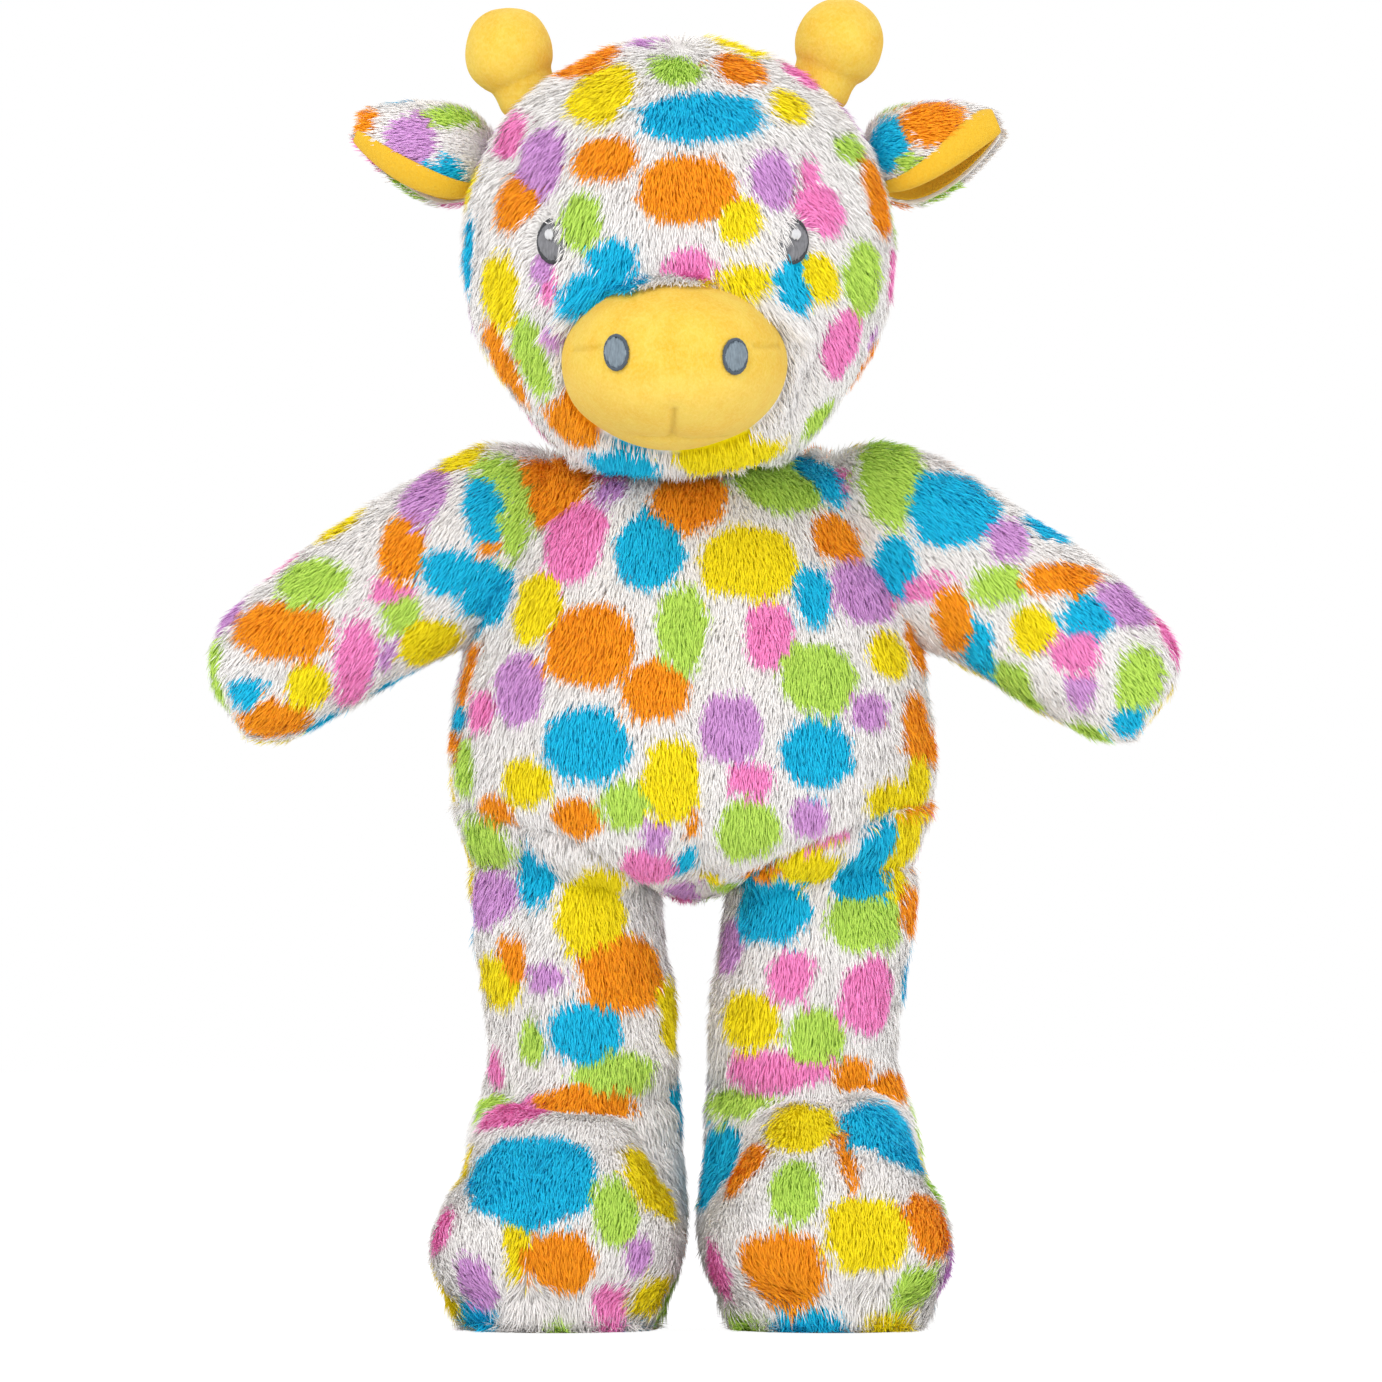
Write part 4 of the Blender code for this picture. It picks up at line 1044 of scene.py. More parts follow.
def stitch_tree():
    group = bpy.data.node_groups.new("satin_stitches", "GeometryNodeTree")
    face = group.interface
    face.new_socket("Geometry", in_out="OUTPUT", socket_type="NodeSocketGeometry")
    face.new_socket("Geometry", in_out="INPUT", socket_type="NodeSocketGeometry")
    for name, value in (("Thread width", 0.0005), ("Thread height", 0.0005), ("Uneven", 0.12)):
        face.new_socket(name, in_out="INPUT", socket_type="NodeSocketFloat").default_value = value
    face.new_socket("Seed", in_out="INPUT", socket_type="NodeSocketInt").default_value = 1
    face.new_socket("Thread", in_out="INPUT", socket_type="NodeSocketObject")
    face.new_socket("Material", in_out="INPUT", socket_type="NodeSocketMaterial")
    tree = Tree(group.nodes, group.links)
    start = tree.node("NodeGroupInput")

    def given(name):
        return tree.out(start, name)

    def named(name):
        kind = {"data_type": "FLOAT_VECTOR"}
        return tree.add("GeometryNodeInputNamedAttribute", kind, {"Name": name}, "Attribute")

    points = tree.add("GeometryNodeMeshToPoints", {}, {"Mesh": given("Geometry")})
    turn = tree.add(
        "FunctionNodeAxesToRotation", {"primary_axis": "X", "secondary_axis": "Z"},
        {"Primary Axis": named("lay"), "Secondary Axis": named("up")},
    )
    length = tree.out(tree.node("ShaderNodeVectorMath", {"operation": "LENGTH"}, {0: named("lay")}), "Value")
    uneven = tree.add(
        "FunctionNodeRandomValue", {"data_type": "FLOAT"}, {"Min": -1.0, "Max": 1.0, "Seed": given("Seed")}
    )
    share = uneven * given("Uneven") + 1.0
    size = tree.joined(length * share, given("Thread width"), given("Thread height") * share)
    thread = tree.add("GeometryNodeObjectInfo", {}, {"Object": given("Thread")}, "Geometry")
    placed = {"Points": points, "Instance": thread, "Rotation": turn, "Scale": size}
    laid = tree.add("GeometryNodeInstanceOnPoints", {}, placed)
    laid = tree.add("GeometryNodeRealizeInstances", {}, {"Geometry": laid})
    laid = tree.add("GeometryNodeSetMaterial", {}, {"Geometry": laid, "Material": given("Material")})
    tree.feed(tree.node("NodeGroupOutput"), "Geometry", laid)
    return group


def thread_shape():
    """A stitch: a unit long along X, its ends tucked under."""
    rings = []
    for x, size in ((-0.49, 0.45), (-0.40, 0.85), (-0.15, 1.0), (0.15, 1.0), (0.40, 0.85), (0.49, 0.45)):
        drop = -0.9 * abs(2 * x) ** 4
        rings.append((Vector((x, 0, drop)), Vector((0, size * 0.56, 0)), Vector((0, 0, size * 0.5))))
    return loft("stitch_thread", Vector((-0.5, 0, -1.1)), rings, Vector((0.5, 0, -1.1)), 6)


def stitched(name, rows, width, height, material, seed):
    """Stitches from rows of (middle, lay, up)."""
    mesh = bpy.data.meshes.new(name)
    mesh.from_pydata([row[0] for row in rows], [], [])
    note(mesh, "lay", [row[1] for row in rows], "FLOAT_VECTOR")
    note(mesh, "up", [row[2] for row in rows], "FLOAT_VECTOR")
    source = put(name + "_rows", mesh)
    made = nodes_mesh(
        source, name, STITCHES,
        Thread_width=width, Thread_height=height, Seed=seed, Thread=THREAD, Material=material,
    )
    bpy.data.objects.remove(source)
    made.data.shade_smooth()
    return made


def faced(tree, x, z):
    place, normal, _, _ = tree.ray_cast(Vector((x, -0.3, z)), Vector((0, 1, 0)))
    return place, normal


def oval_stitches(tree, x, z, width, height, thread, lift, lean=0.0):
    """Upright satin stitches that fill an oval on a surface."""
    rows = []
    count = max(2, int(width / thread))
    for layer, share in ((0, 0.97), (1, 1.0)):
        for i in range(count):
            s = ((i + 0.5 + 0.5 * layer) / count) * 2 - 1
            if abs(s) >= 0.985:
                continue
            half = height / 2 * math.sqrt(1 - s * s) * share
            ends = [faced(tree, x + s * width / 2 + lean * k * half, z + k * half) for k in (-1, 1)]
            if any(e[0] is None for e in ends):
                continue
            middle, up = faced(tree, x + s * width / 2, z)
            lay = ends[1][0] - ends[0][0]
            centre = (ends[0][0] + ends[1][0]) / 2
            centre = centre.lerp(middle, 0.6) + up * (lift + 0.00012 * layer)
            rows.append((centre, lay, up))
    return rows


def oval_rim(tree, x, z, width, height, thread, reach, lift):
    """Short satin stitches across an oval's edge."""
    rows = []
    around = math.pi * (width + height) / 2
    count = int(around / (thread * 0.9))
    for i in range(count):
        turn = 2 * math.pi * i / count
        place, up = faced(tree, x + width / 2 * math.cos(turn), z + height / 2 * math.sin(turn))
        if place is None:
            continue
        out = Vector((math.cos(turn) / width, 0, math.sin(turn) / height))
        out = (out - up * out.dot(up)).normalized()
        rows.append((place + up * lift, out * reach, up))
    return rows


# The camera, the light and the stage


def add_camera():
    camera = bpy.data.objects.new("camera", bpy.data.cameras.new("camera"))
    scene.collection.objects.link(camera)
    camera.location = CAMERA_AT
    camera.rotation_euler = (math.pi / 2, 0, 0)
    camera.data.sensor_width = SENSOR * 1000
    camera.data.lens = SENSOR * 1000 * CAMERA_DISTANCE / (PHOTO_PIXELS * PIXEL)
    camera.data.clip_end = 50
    scene.camera = camera


def add_lamp(name, place, aim, size, power, colour=(1, 1, 1)):
    data = bpy.data.lights.new(name, "AREA")
    data.shape, data.size, data.energy, data.color = "DISK", size, power, colour
    lamp = bpy.data.objects.new(name, data)
    scene.collection.objects.link(lamp)
    lamp.location = place
    lamp.rotation_euler = (Vector(aim) - Vector(place)).to_track_quat("-Z", "Y").to_euler()


def add_stage():
    world = bpy.data.worlds.new("studio")
    scene.world = world
    world.use_nodes = True
    tree = Tree(world.node_tree.nodes, world.node_tree.links)
    backdrop = world.node_tree.nodes["Background"]
    tree.feed(backdrop, "Color", (1, 1, 1, 1))
    tree.feed(backdrop, "Strength", tree.seen() * 0.18 + 0.82)
    add_lamp("key", (-0.9, -1.5, 1.5), (0, 0, 0.2), 1.1, 19.0)
    add_lamp("fill", (1.3, -1.3, 0.7), (0, 0, 0.2), 1.2, 8.5)
    add_lamp("back", (0.3, 1.5, 1.3), (0, 0, 0.25), 1.0, 9.0)
    mesh = bpy.data.meshes.new("floor")
    mesh.from_pydata([(-4, -4, 0), (4, -4, 0), (4, 4, 0), (-4, 4, 0)], [], [(0, 1, 2, 3)])
    floor = put("floor", mesh)
    material = bpy.data.materials.new("studio floor")
    material.use_nodes = True
    nodes = material.node_tree.nodes
    floor_tree = Tree(nodes, material.node_tree.links)
    shader = nodes["Principled BSDF"]
    shader.inputs["Roughness"].default_value = 0.9
    shader.inputs["Base Color"].default_value = (0.86, 0.86, 0.86, 1)
    glow = floor_tree.add("ShaderNodeEmission", {}, {"Color": (1, 1, 1, 1), "Strength": 1.08})
    mixed = floor_tree.node("ShaderNodeMixShader", inputs={0: floor_tree.seen() * 0.9})
    material.node_tree.links.new(shader.outputs[0], mixed.inputs[1])
    material.node_tree.links.new(glow.out, mixed.inputs[2])
    material.node_tree.links.new(mixed.outputs[0], nodes["Material Output"].inputs["Surface"])
    mesh.materials.append(material)


# The spots that the photograph shows, as pixel boxes (left, top, right, bottom)

HEAD_SPOTS = {
    "orange": [(568, 43, 624, 81), (712, 53, 755, 87), (578, 131, 636, 175), (639, 150, 732, 216),
               (
                   480, 138, 501, 174
               ), (503, 162, 540, 223), (852, 153, 892, 227), (489, 315, 520, 401), (547, 392, 600, 436)],
    "yellow": [(578, 63, 636, 119), (764, 89, 800, 122), (717, 190, 755, 236), (486, 246, 523, 321),
               (714, 257, 770, 288), (801, 252, 832, 295), (674, 430, 786, 465)],
    "lime": [(654, 55, 700, 83), (565, 185, 607, 242), (829, 132, 856, 159), (490, 105, 512, 125),
             (838, 236, 875, 308), (518, 309, 553, 387), (806, 395, 836, 432)],
    "pink": [(654, 34, 682, 49), (498, 110, 535, 150), (792, 180, 838, 230), (665, 242, 712, 279),
             (544, 262, 562, 296), (824, 301, 853, 373), (600, 466, 634, 480), (796, 150, 816, 182)],
    "lilac": [(640, 42, 664, 56), (725, 46, 772, 62), (520, 122, 568, 190), (746, 144, 789, 199),
              (536, 252, 556, 278), (553, 316, 573, 338), (862, 318, 880, 342)],
    "blue": [(645, 89, 758, 136), (463, 208, 486, 285), (590, 233, 639, 272), (564, 266, 648, 312),
             (772, 245, 813, 306), (884, 262, 899, 296), (591, 440, 657, 477)],
}
BROW_SPOTS = {
    "blue": [(560, 262, 612, 322), (604, 262, 662, 304)],
    "pink": [(672, 250, 712, 290)],
    "yellow": [(742, 262, 776, 300)],
    "lime": [(790, 300, 812, 330)],
}
BODY_SPOTS = {
    "pink": [(550, 493, 607, 572), (746, 591, 792, 662), (474, 685, 498, 726), (727, 751, 773, 787),
             (812, 816, 839, 839), (619, 839, 677, 878)],
    "blue": [(619, 504, 683, 582), (815, 412, 847, 459), (471, 469, 513, 537), (484, 559, 520, 619),
             (792, 559, 829, 619), (547, 700, 628, 773), (782, 711, 853, 777), (678, 843, 700, 870)],
    "orange": [(655, 469, 727, 521), (809, 508, 854, 558), (520, 430, 568, 486), (486, 530, 506, 550),
               (550, 596, 634, 680), (891, 602, 924, 667), (624, 653, 689, 711), (465, 633, 484, 697),
               (896, 687, 927, 756), (481, 787, 513, 819), (553, 788, 604, 827), (883, 783, 940, 824),
               (749, 854, 778, 876), (685, 805, 700, 831)],
    "lime": [(733, 450, 820, 504), (506, 501, 533, 552), (656, 579, 709, 660), (780, 636, 853, 706),
             (457, 734, 482, 787), (602, 770, 651, 819), (716, 794, 777, 854)],
    "yellow": [(702, 520, 795, 592), (521, 565, 563, 636), (864, 624, 900, 672), (643, 733, 698, 812),
               (504, 751, 552, 797), (866, 772, 910, 809), (700, 866, 731, 885)],
    "lilac": [(604, 478, 630, 500), (831, 555, 888, 616), (499, 646, 550, 716), (702, 687, 763, 753),
              (849, 685, 883, 721), (643, 812, 670, 841), (790, 790, 827, 826), (838, 398, 860, 420)],
}
LEG_SPOTS = {
    "right": {
        "blue": [(521, 833, 558, 892), (552, 990, 619, 1056), (468, 1129, 596, 1210), (462, 1296, 500, 1326)],
        "lilac": [
            (477, 869, 514, 915), (529, 955, 562, 984), (665, 1100, 696, 1162), (454, 1250, 489, 1303),
            (627, 1231, 653, 1269)
        ],
        "yellow": [(562, 863, 623, 949), (475, 947, 514, 1001), (646, 974, 686, 1045), (621, 1143, 671, 1221),
                   (504, 1196, 529, 1271), (640, 1271, 673, 1305)],
        "orange": [
            (585, 926, 663, 1003), (498, 930, 525, 972), (540, 1076, 640, 1108), (525, 1225, 596, 1284),
            (669, 1217, 688, 1257)
        ],
        "lime": [
            (464, 815, 511, 854), (519, 1009, 544, 1058), (579, 1043, 653, 1088), (481, 1089, 519, 1122),
            (594, 1173, 638, 1238), (545, 1305, 567, 1325)
        ],
        "pink": [(491, 1039, 510, 1078), (596, 1277, 629, 1319)],
    },
    "left": {
        "blue": [
            (843, 823, 885, 882), (738, 871, 806, 932), (887, 953, 921, 1020), (694, 1120, 749, 1202),
            (862, 1102, 914, 1169), (772, 1298, 845, 1328)
        ],
        "yellow": [
            (780, 842, 841, 869), (906, 838, 935, 925), (726, 984, 780, 1041), (770, 1101, 831, 1145),
            (824, 1190, 912, 1259), (860, 1303, 914, 1326)
        ],
        "lime": [
            (833, 879, 902, 940), (789, 997, 847, 1057), (701, 1078, 764, 1112), (770, 1154, 820, 1217),
            (896, 1261, 940, 1303), (921, 1143, 948, 1185)
        ],
        "lilac": [(720, 913, 749, 967)],
        "pink": [(770, 944, 814, 993), (847, 951, 891, 1024), (726, 1041, 826, 1080)],
        "orange": [
            (835, 1049, 873, 1087), (868, 1064, 904, 1097), (836, 1118, 856, 1176), (914, 1190, 950, 1248),
            (738, 1227, 822, 1300)
        ],
    },
}
ARM_SPOTS = {
    "right": {
        "lime": [(442, 426, 512, 458), (287, 555, 352, 596), (388, 584, 425, 630), (204, 634, 231, 707)],
        "pink": [(388, 453, 425, 481), (374, 571, 417, 596), (342, 613, 381, 702)],
        "lilac": [(414, 465, 451, 516), (384, 630, 400, 661)],
        "yellow": [(323, 501, 382, 547), (405, 613, 463, 659), (291, 656, 335, 700)],
        "orange": [(386, 510, 430, 574), (238, 597, 335, 649), (245, 697, 318, 735), (214, 707, 243, 731)],
        "blue": [(425, 542, 491, 588), (236, 671, 270, 700), (272, 540, 304, 571), (354, 683, 381, 712)],
    },
    "left": {
        "lime": [(858, 424, 915, 512), (967, 561, 1020, 597), (1113, 639, 1157, 702), (990, 654, 1028, 710)],
        "blue": [
            (902, 468, 990, 539), (1056, 592, 1113, 628), (958, 615, 990, 681), (1108, 697, 1142, 731),
            (867, 530, 910, 591)
        ],
        "lilac": [(981, 516, 1018, 552), (1099, 579, 1140, 622), (1058, 666, 1089, 702)],
        "pink": [(1026, 517, 1087, 552), (1045, 619, 1096, 666), (822, 470, 845, 508)],
        "orange": [(1022, 559, 1093, 590), (929, 581, 968, 649), (1024, 710, 1101, 746)],
        "yellow": [(1005, 599, 1049, 647)],
    },
}
EAR_SPOTS = {
    "right": {"lilac": [(394, 113, 441, 169)], "blue": [(432, 161, 470, 204)], "lime": [(432, 108, 480, 128)]},
    "left": {"blue": [(844, 102, 877, 153)], "orange": [(899, 99, 961, 141)], "lime": [(893, 150, 915, 172)]},
}

# Making

add_camera()
add_stage()

PILE_FINISH = pile_material()
BACKING_FINISH = backing_material()
STRAND = blade()
THREAD = thread_shape()
PILE = pile_tree()
STITCHES = stitch_tree()
DOWN = np.array([0.0, 0.0, -1.0])
SIDES = ((1, "left"), (-1, "right"))

# The legs' plush goes up to the hip seam, so the body's form under it is theirs
hip_blocks = {name: hip_block(side) for side, name in SIDES}
torso, torso_whole = backing("torso_backing", rounded(torso_form()), hip_blocks.values())
necks = neck_room()
head_shape = rounded(head_form())
head_copy = put("head_copy", head_shape.data.copy())
rounded(head_copy)
changed(head_copy, "DISPLACE", strength=-PILE_SUNK + 0.0006, mid_level=0.0)
head, head_whole = backing("head_backing", head_shape, [necks])
arm_skins, leg_skins = {}, {}
floor_cut = floor_cutter(SOLE_TOP + 0.0004)
for side, side_name in SIDES:
    arm_skins[side_name] = backing(f"arm_{side_name}_backing", arm_form(side, side_name))
    hip = rounded(torso_form())
    changed(hip, "DISPLACE", strength=-PILE_SUNK, mid_level=0.0)
    changed(hip, "BOOLEAN", operation="INTERSECT", solver="EXACT", object=hip_blocks[side_name])
    hip, wedge = plain(hip, "hip"), instep_wedge(side)
    leg_skins[side_name] = backing(
        f"leg_{side_name}_backing", leg_form(side, side_name), [floor_cut], joined=[hip, wedge]
    )
    for thing in (hip, wedge):
        bpy.data.objects.remove(thing)


def depth_in(points, tree):
    """How far each point lies inside a closed surface."""
    depth = np.zeros(len(points))
    for i, p in enumerate(points):
        place, normal, _, away = tree.find_nearest(Vector(p))
        if (Vector(p) - place).dot(normal) < 0:
            depth[i] = away
    return depth


def bare(depth):
    """The pile's cover where one skin goes into another."""
    return np.clip((0.0042 - depth) / 0.0030, 0, 1)


def soften(skin, low, high, rounds):
    """Evens out a skin between two heights."""
    work = bmesh.new()
    work.from_mesh(skin.data)
    near = [v for v in work.verts if low < v.co.z < high]
    for _ in range(rounds):
        bmesh.ops.smooth_vert(work, verts=near, factor=0.5, use_axis_x=True, use_axis_y=True, use_axis_z=True)
    work.to_mesh(skin.data)
    work.free()


ALL_SPOTS = [HEAD_SPOTS, BODY_SPOTS, *LEG_SPOTS.values(), *ARM_SPOTS.values()]
bpy.context.view_layer.update()
SKINS = [torso, head] + [skins[name][0] for skins in (arm_skins, leg_skins) for _, name in SIDES]
TREES = [surface_of(skin) for skin in SKINS]
SEEN = [spot for named in ALL_SPOTS for spot in seen_spots(TREES, named)]

# Torso
tree = surface_of(torso)
before = points_of(torso.data)
deep = np.array([torso_whole.find_nearest(Vector(p))[3] for p in before])
for _, side_name in SIDES:
    deep = np.maximum(deep, depth_in(before, arm_skins[side_name][1]))
seams = seen_seams(tree, "torso")
seams.append(around_path(tree, [(0, 0, z) for z in np.linspace(0.15, 0.28, 40)], (0, -1, 0)))
settle(torso, seams, seen_folds(tree, "torso"), lump=0.0012, seed=3)
points, normals = points_of(torso.data), normals_of(torso.data)
neck = np.exp(-(((np.abs(points[:, 0]) - 0.052) / 0.013) ** 2) - ((points[:, 1] - MIDDLE_Y) / 0.034) ** 2)
neck *= np.clip((points[:, 2] - 0.252) / 0.012, 0, 1) * (normals[:, 2] > 0)
move_points(torso.data, points + np.array([0, 0, 0.0125]) * neck[:, None])
lay_spots(torso, SEEN, 21)
way = DOWN + 0.25 * wander(points_of(torso.data), 28, 5)
comb_along(torso, way, bare(deep), np.where(deep > 0.0012, 0.7, 1.0))
torso.data.materials.append(BACKING_FINISH)
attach(torso, "torso")
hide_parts("body_skin", "body_stuffing")
front = points_of(torso.data)[:, 1] < MIDDLE_Y
grow_halves(torso, "torso_pile", "torso", (11, 12), front)

# Head
tree = surface_of(head)
wall = np.array([head_whole.find_nearest(Vector(p))[3] > 0.0012 for p in points_of(head.data)])
seams = seen_seams(tree, "head")
seams.append(around_path(tree, [(HEAD_X, 0, z) for z in np.linspace(0.30, 0.405, 36)], (0, -1, 0)))
settle(head, seams, seen_folds(tree, "head"), lump=0.0010, seed=7)
points, normals = points_of(head.data), normals_of(head.data)
cheek = bell(points[:, 2] - 0.298, 0.016) * np.clip((np.abs(points[:, 0] - HEAD_X) - 0.03) / 0.02, 0, 1)
points = points - normals * (0.0024 * cheek)[:, None]
move_points(head.data, points)
normals = normals_of(head.data)
lay_spots(head, SEEN, 33)
from_face = points - np.array([FACE_X, 0, SNOUT_Z + 0.02])
spread_out = np.stack([from_face[:, 0] * 14, 0 * from_face[:, 0], 0 * from_face[:, 0]], axis=1)
way = DOWN + spread_out + 0.2 * wander(points, 30, 9)
high = points[:, 2] > 0.385
way[high] += (points[high] - np.array([HEAD_X, HEAD_Y - 0.02, 0.385])) * 25
cover, length = np.where(wall, 0.5, 1.0), np.where(wall, 0.35, 1.0)
inside_snout = ((points[:, 0] - FACE_X) / (SNOUT_HALF_WIDTH - 0.002)) ** 2
inside_snout = inside_snout + ((points[:, 2] - SNOUT_Z) / (SNOUT_HALF_HEIGHT - 0.002)) ** 2
covered = (inside_snout < 1) & (points[:, 1] < -0.02)
cover[covered] = 0
rim = (inside_snout >= 1) & (inside_snout < 1.45) & (points[:, 1] < -0.02)
length[rim] = 1.15
brow = rim & (points[:, 2] > SNOUT_Z + 0.012)
length[brow] = 1.75 + 0.45 * lumps(points[brow], 70, 12)
for side, side_name in SIDES:
    across = (points[:, 0] - FACE_X - side * EYE_SEEN[side_name]) / EYE_WIDTH * 2
    out = np.stack([across, (points[:, 2] - EYE_Z) / EYE_HEIGHT * 2], axis=1)
    away = np.linalg.norm(out, axis=1)
    near = (points[:, 1] < 0) & (away < 2.6)
    outer = near & (out[:, 0] * side > -0.35)
    cover[near & (away < np.where(outer, 1.08, 0.96))] = 0
    length[outer & (away < 1.9)] *= 0.62
    radial = np.stack([out[:, 0] * EYE_WIDTH, 0 * away, out[:, 1] * EYE_HEIGHT], axis=1)
    radial /= np.maximum(np.linalg.norm(radial, axis=1), 1e-9)[:, None]
    way += radial * (np.where(outer, 2.2, 0.0) * bell(away - 1.1, 0.55))[:, None]
comb_along(head, way, cover, length, lift=brow * 0.95)
head.data.materials.append(BACKING_FINISH)
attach(head, "head")
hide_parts("head_skin", "head_stuffing")
front = points[:, 1] < HEAD_Y - 0.004
grow_halves(head, "head_pile", "head", (13, 14), front)

# Snout
snout = rounded(snout_form(), 4)
changed(snout, "DISPLACE", strength=-0.0004, mid_level=0.0)
changed(snout, "BOOLEAN", operation="DIFFERENCE", solver="EXACT", object=head_copy)
changed(snout, "REMESH", mode="VOXEL", voxel_size=0.0009, use_smooth_shade=True)
changed(snout, "SMOOTH", factor=0.5, iterations=6)
snout = plain(snout, "snout_velboa")
bpy.data.objects.remove(head_copy)
tree = surface_of(snout)
points, normals = points_of(snout.data), normals_of(snout.data)
pull = 0.0006 * lumps(points, 60, 4)
seam_shade = np.zeros(len(points))
for path, depth, reach in seen_folds(tree, "snout"):
    if len(path) > 1:
        away = to_path(points, path)
        pull = pull - depth * bell(away, reach) - 0.7 * depth * bell(away, 4 * reach)
        # painted shade along each seam, darkest where the seam is deepest
        seam_shade = np.maximum(seam_shade, depth / DEEPEST_SEAM * bell(away, 0.0008))
move_points(snout.data, points + normals * pull[:, None])
note(snout.data, "seam", seam_shade)
SNOUT_FINISH = velboa_material("snout velboa", "velboa", "velboa deep", "velboa pale", SNOUT_Z - 0.004)
snout.data.materials.append(SNOUT_FINISH)
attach(snout, "head")
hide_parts("snout_skin", "snout_stuffing")

# Tufts of the forehead's plush that hang over the snout's upper edge
work = bmesh.new()
work.from_mesh(snout.data)
for v in list(work.verts):
    uneven = noise.noise(v.co * 85 + Vector((3, 1, 2)))
    edge = BROW_Z - 0.0014 * (v.co.x < FACE_X - 0.012) + 0.0032 * uneven
    if v.co.z < edge or v.co.y < -0.0765 or v.co.y > -0.048:
        work.verts.remove(v)
mesh = bpy.data.meshes.new("brow_skin")
work.to_mesh(mesh)
work.free()
brow_skin = put("brow_skin", mesh)
lay_spots(brow_skin, seen_spots([surface_of(brow_skin)], BROW_SPOTS), 35, count=0)
points = points_of(mesh)
spread_out = np.stack([(points[:, 0] - FACE_X) * 14, 0 * points[:, 0], 0 * points[:, 0]], axis=1)
way = DOWN + np.array([0, -0.9, 0]) + spread_out
comb_along(brow_skin, way + 0.5 * wander(points, 60, 8), None, 1.0 + 0.5 * lumps(points, 90, 15))
grow_pile(brow_skin, "brow_pile", "head", 37)
bpy.data.objects.remove(brow_skin)

# Eyes and nostrils
EYE_FINISH = thread_material("grey thread", "eye", 0.42)
EYE_RIM_FINISH = thread_material("dark grey thread", "eye rim")
GLINT_FINISH = thread_material("white thread", "glint", 0.06)
NOSTRIL_FINISH = thread_material("blue grey thread", "nostril", 0.40)
NOSTRIL_RIM_FINISH = thread_material("dark blue grey thread", "nostril rim")
eye_ground = surface_of(head)
snout_ground = surface_of(snout)
for side, side_name in SIDES:
    x = FACE_X + side * EYE_SEEN[side_name]
    rows = oval_stitches(eye_ground, x, EYE_Z, EYE_WIDTH, EYE_HEIGHT, THREAD_STEP, 0.0013)
    eye = stitched(f"eye_{side_name}_satin", rows, THREAD_WIDTH, 0.0007, EYE_FINISH, 5)
    rows = oval_rim(eye_ground, x, EYE_Z, EYE_WIDTH, EYE_HEIGHT, THREAD_STEP, 0.0015, 0.0012)
    rim = stitched(f"eye_{side_name}_rim", rows, THREAD_WIDTH, 0.0008, EYE_RIM_FINISH, 6)
    x, z = x + side * 0.0002, EYE_Z + 0.0018
    rows = oval_stitches(eye_ground, x, z, GLINT_WIDTH, GLINT_HEIGHT, THREAD_STEP, 0.0026)
    glint = stitched(f"eye_{side_name}_glint", rows, 0.0006, 0.0006, GLINT_FINISH, 7)
    x, z = FACE_X + side * NOSTRIL_SEEN[side_name][0], NOSTRIL_SEEN[side_name][1]
    rows = oval_stitches(snout_ground, x, z, NOSTRIL_WIDTH, NOSTRIL_HEIGHT, THREAD_STEP, 0.0012, 0.10 * side)
    nostril = stitched(f"nostril_{side_name}_satin", rows, THREAD_WIDTH, 0.0007, NOSTRIL_FINISH, 8)
    rows = oval_rim(snout_ground, x, z, NOSTRIL_WIDTH, NOSTRIL_HEIGHT, THREAD_STEP, 0.0013, 0.0011)
    nostril_rim = stitched(f"nostril_{side_name}_rim", rows, THREAD_WIDTH, 0.0008, NOSTRIL_RIM_FINISH, 9)
    for piece, slot in (
        (eye, "grey_thread"), (rim, "grey_thread"), (glint, "white_thread"), (nostril, "blue_grey_thread"),
        (nostril_rim, "blue_grey_thread")
    ):
        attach(piece, "head")
    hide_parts(f"eye_{side_name}")
    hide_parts(f"eye_glint_{side_name}")
    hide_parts(f"nostril_{side_name}")

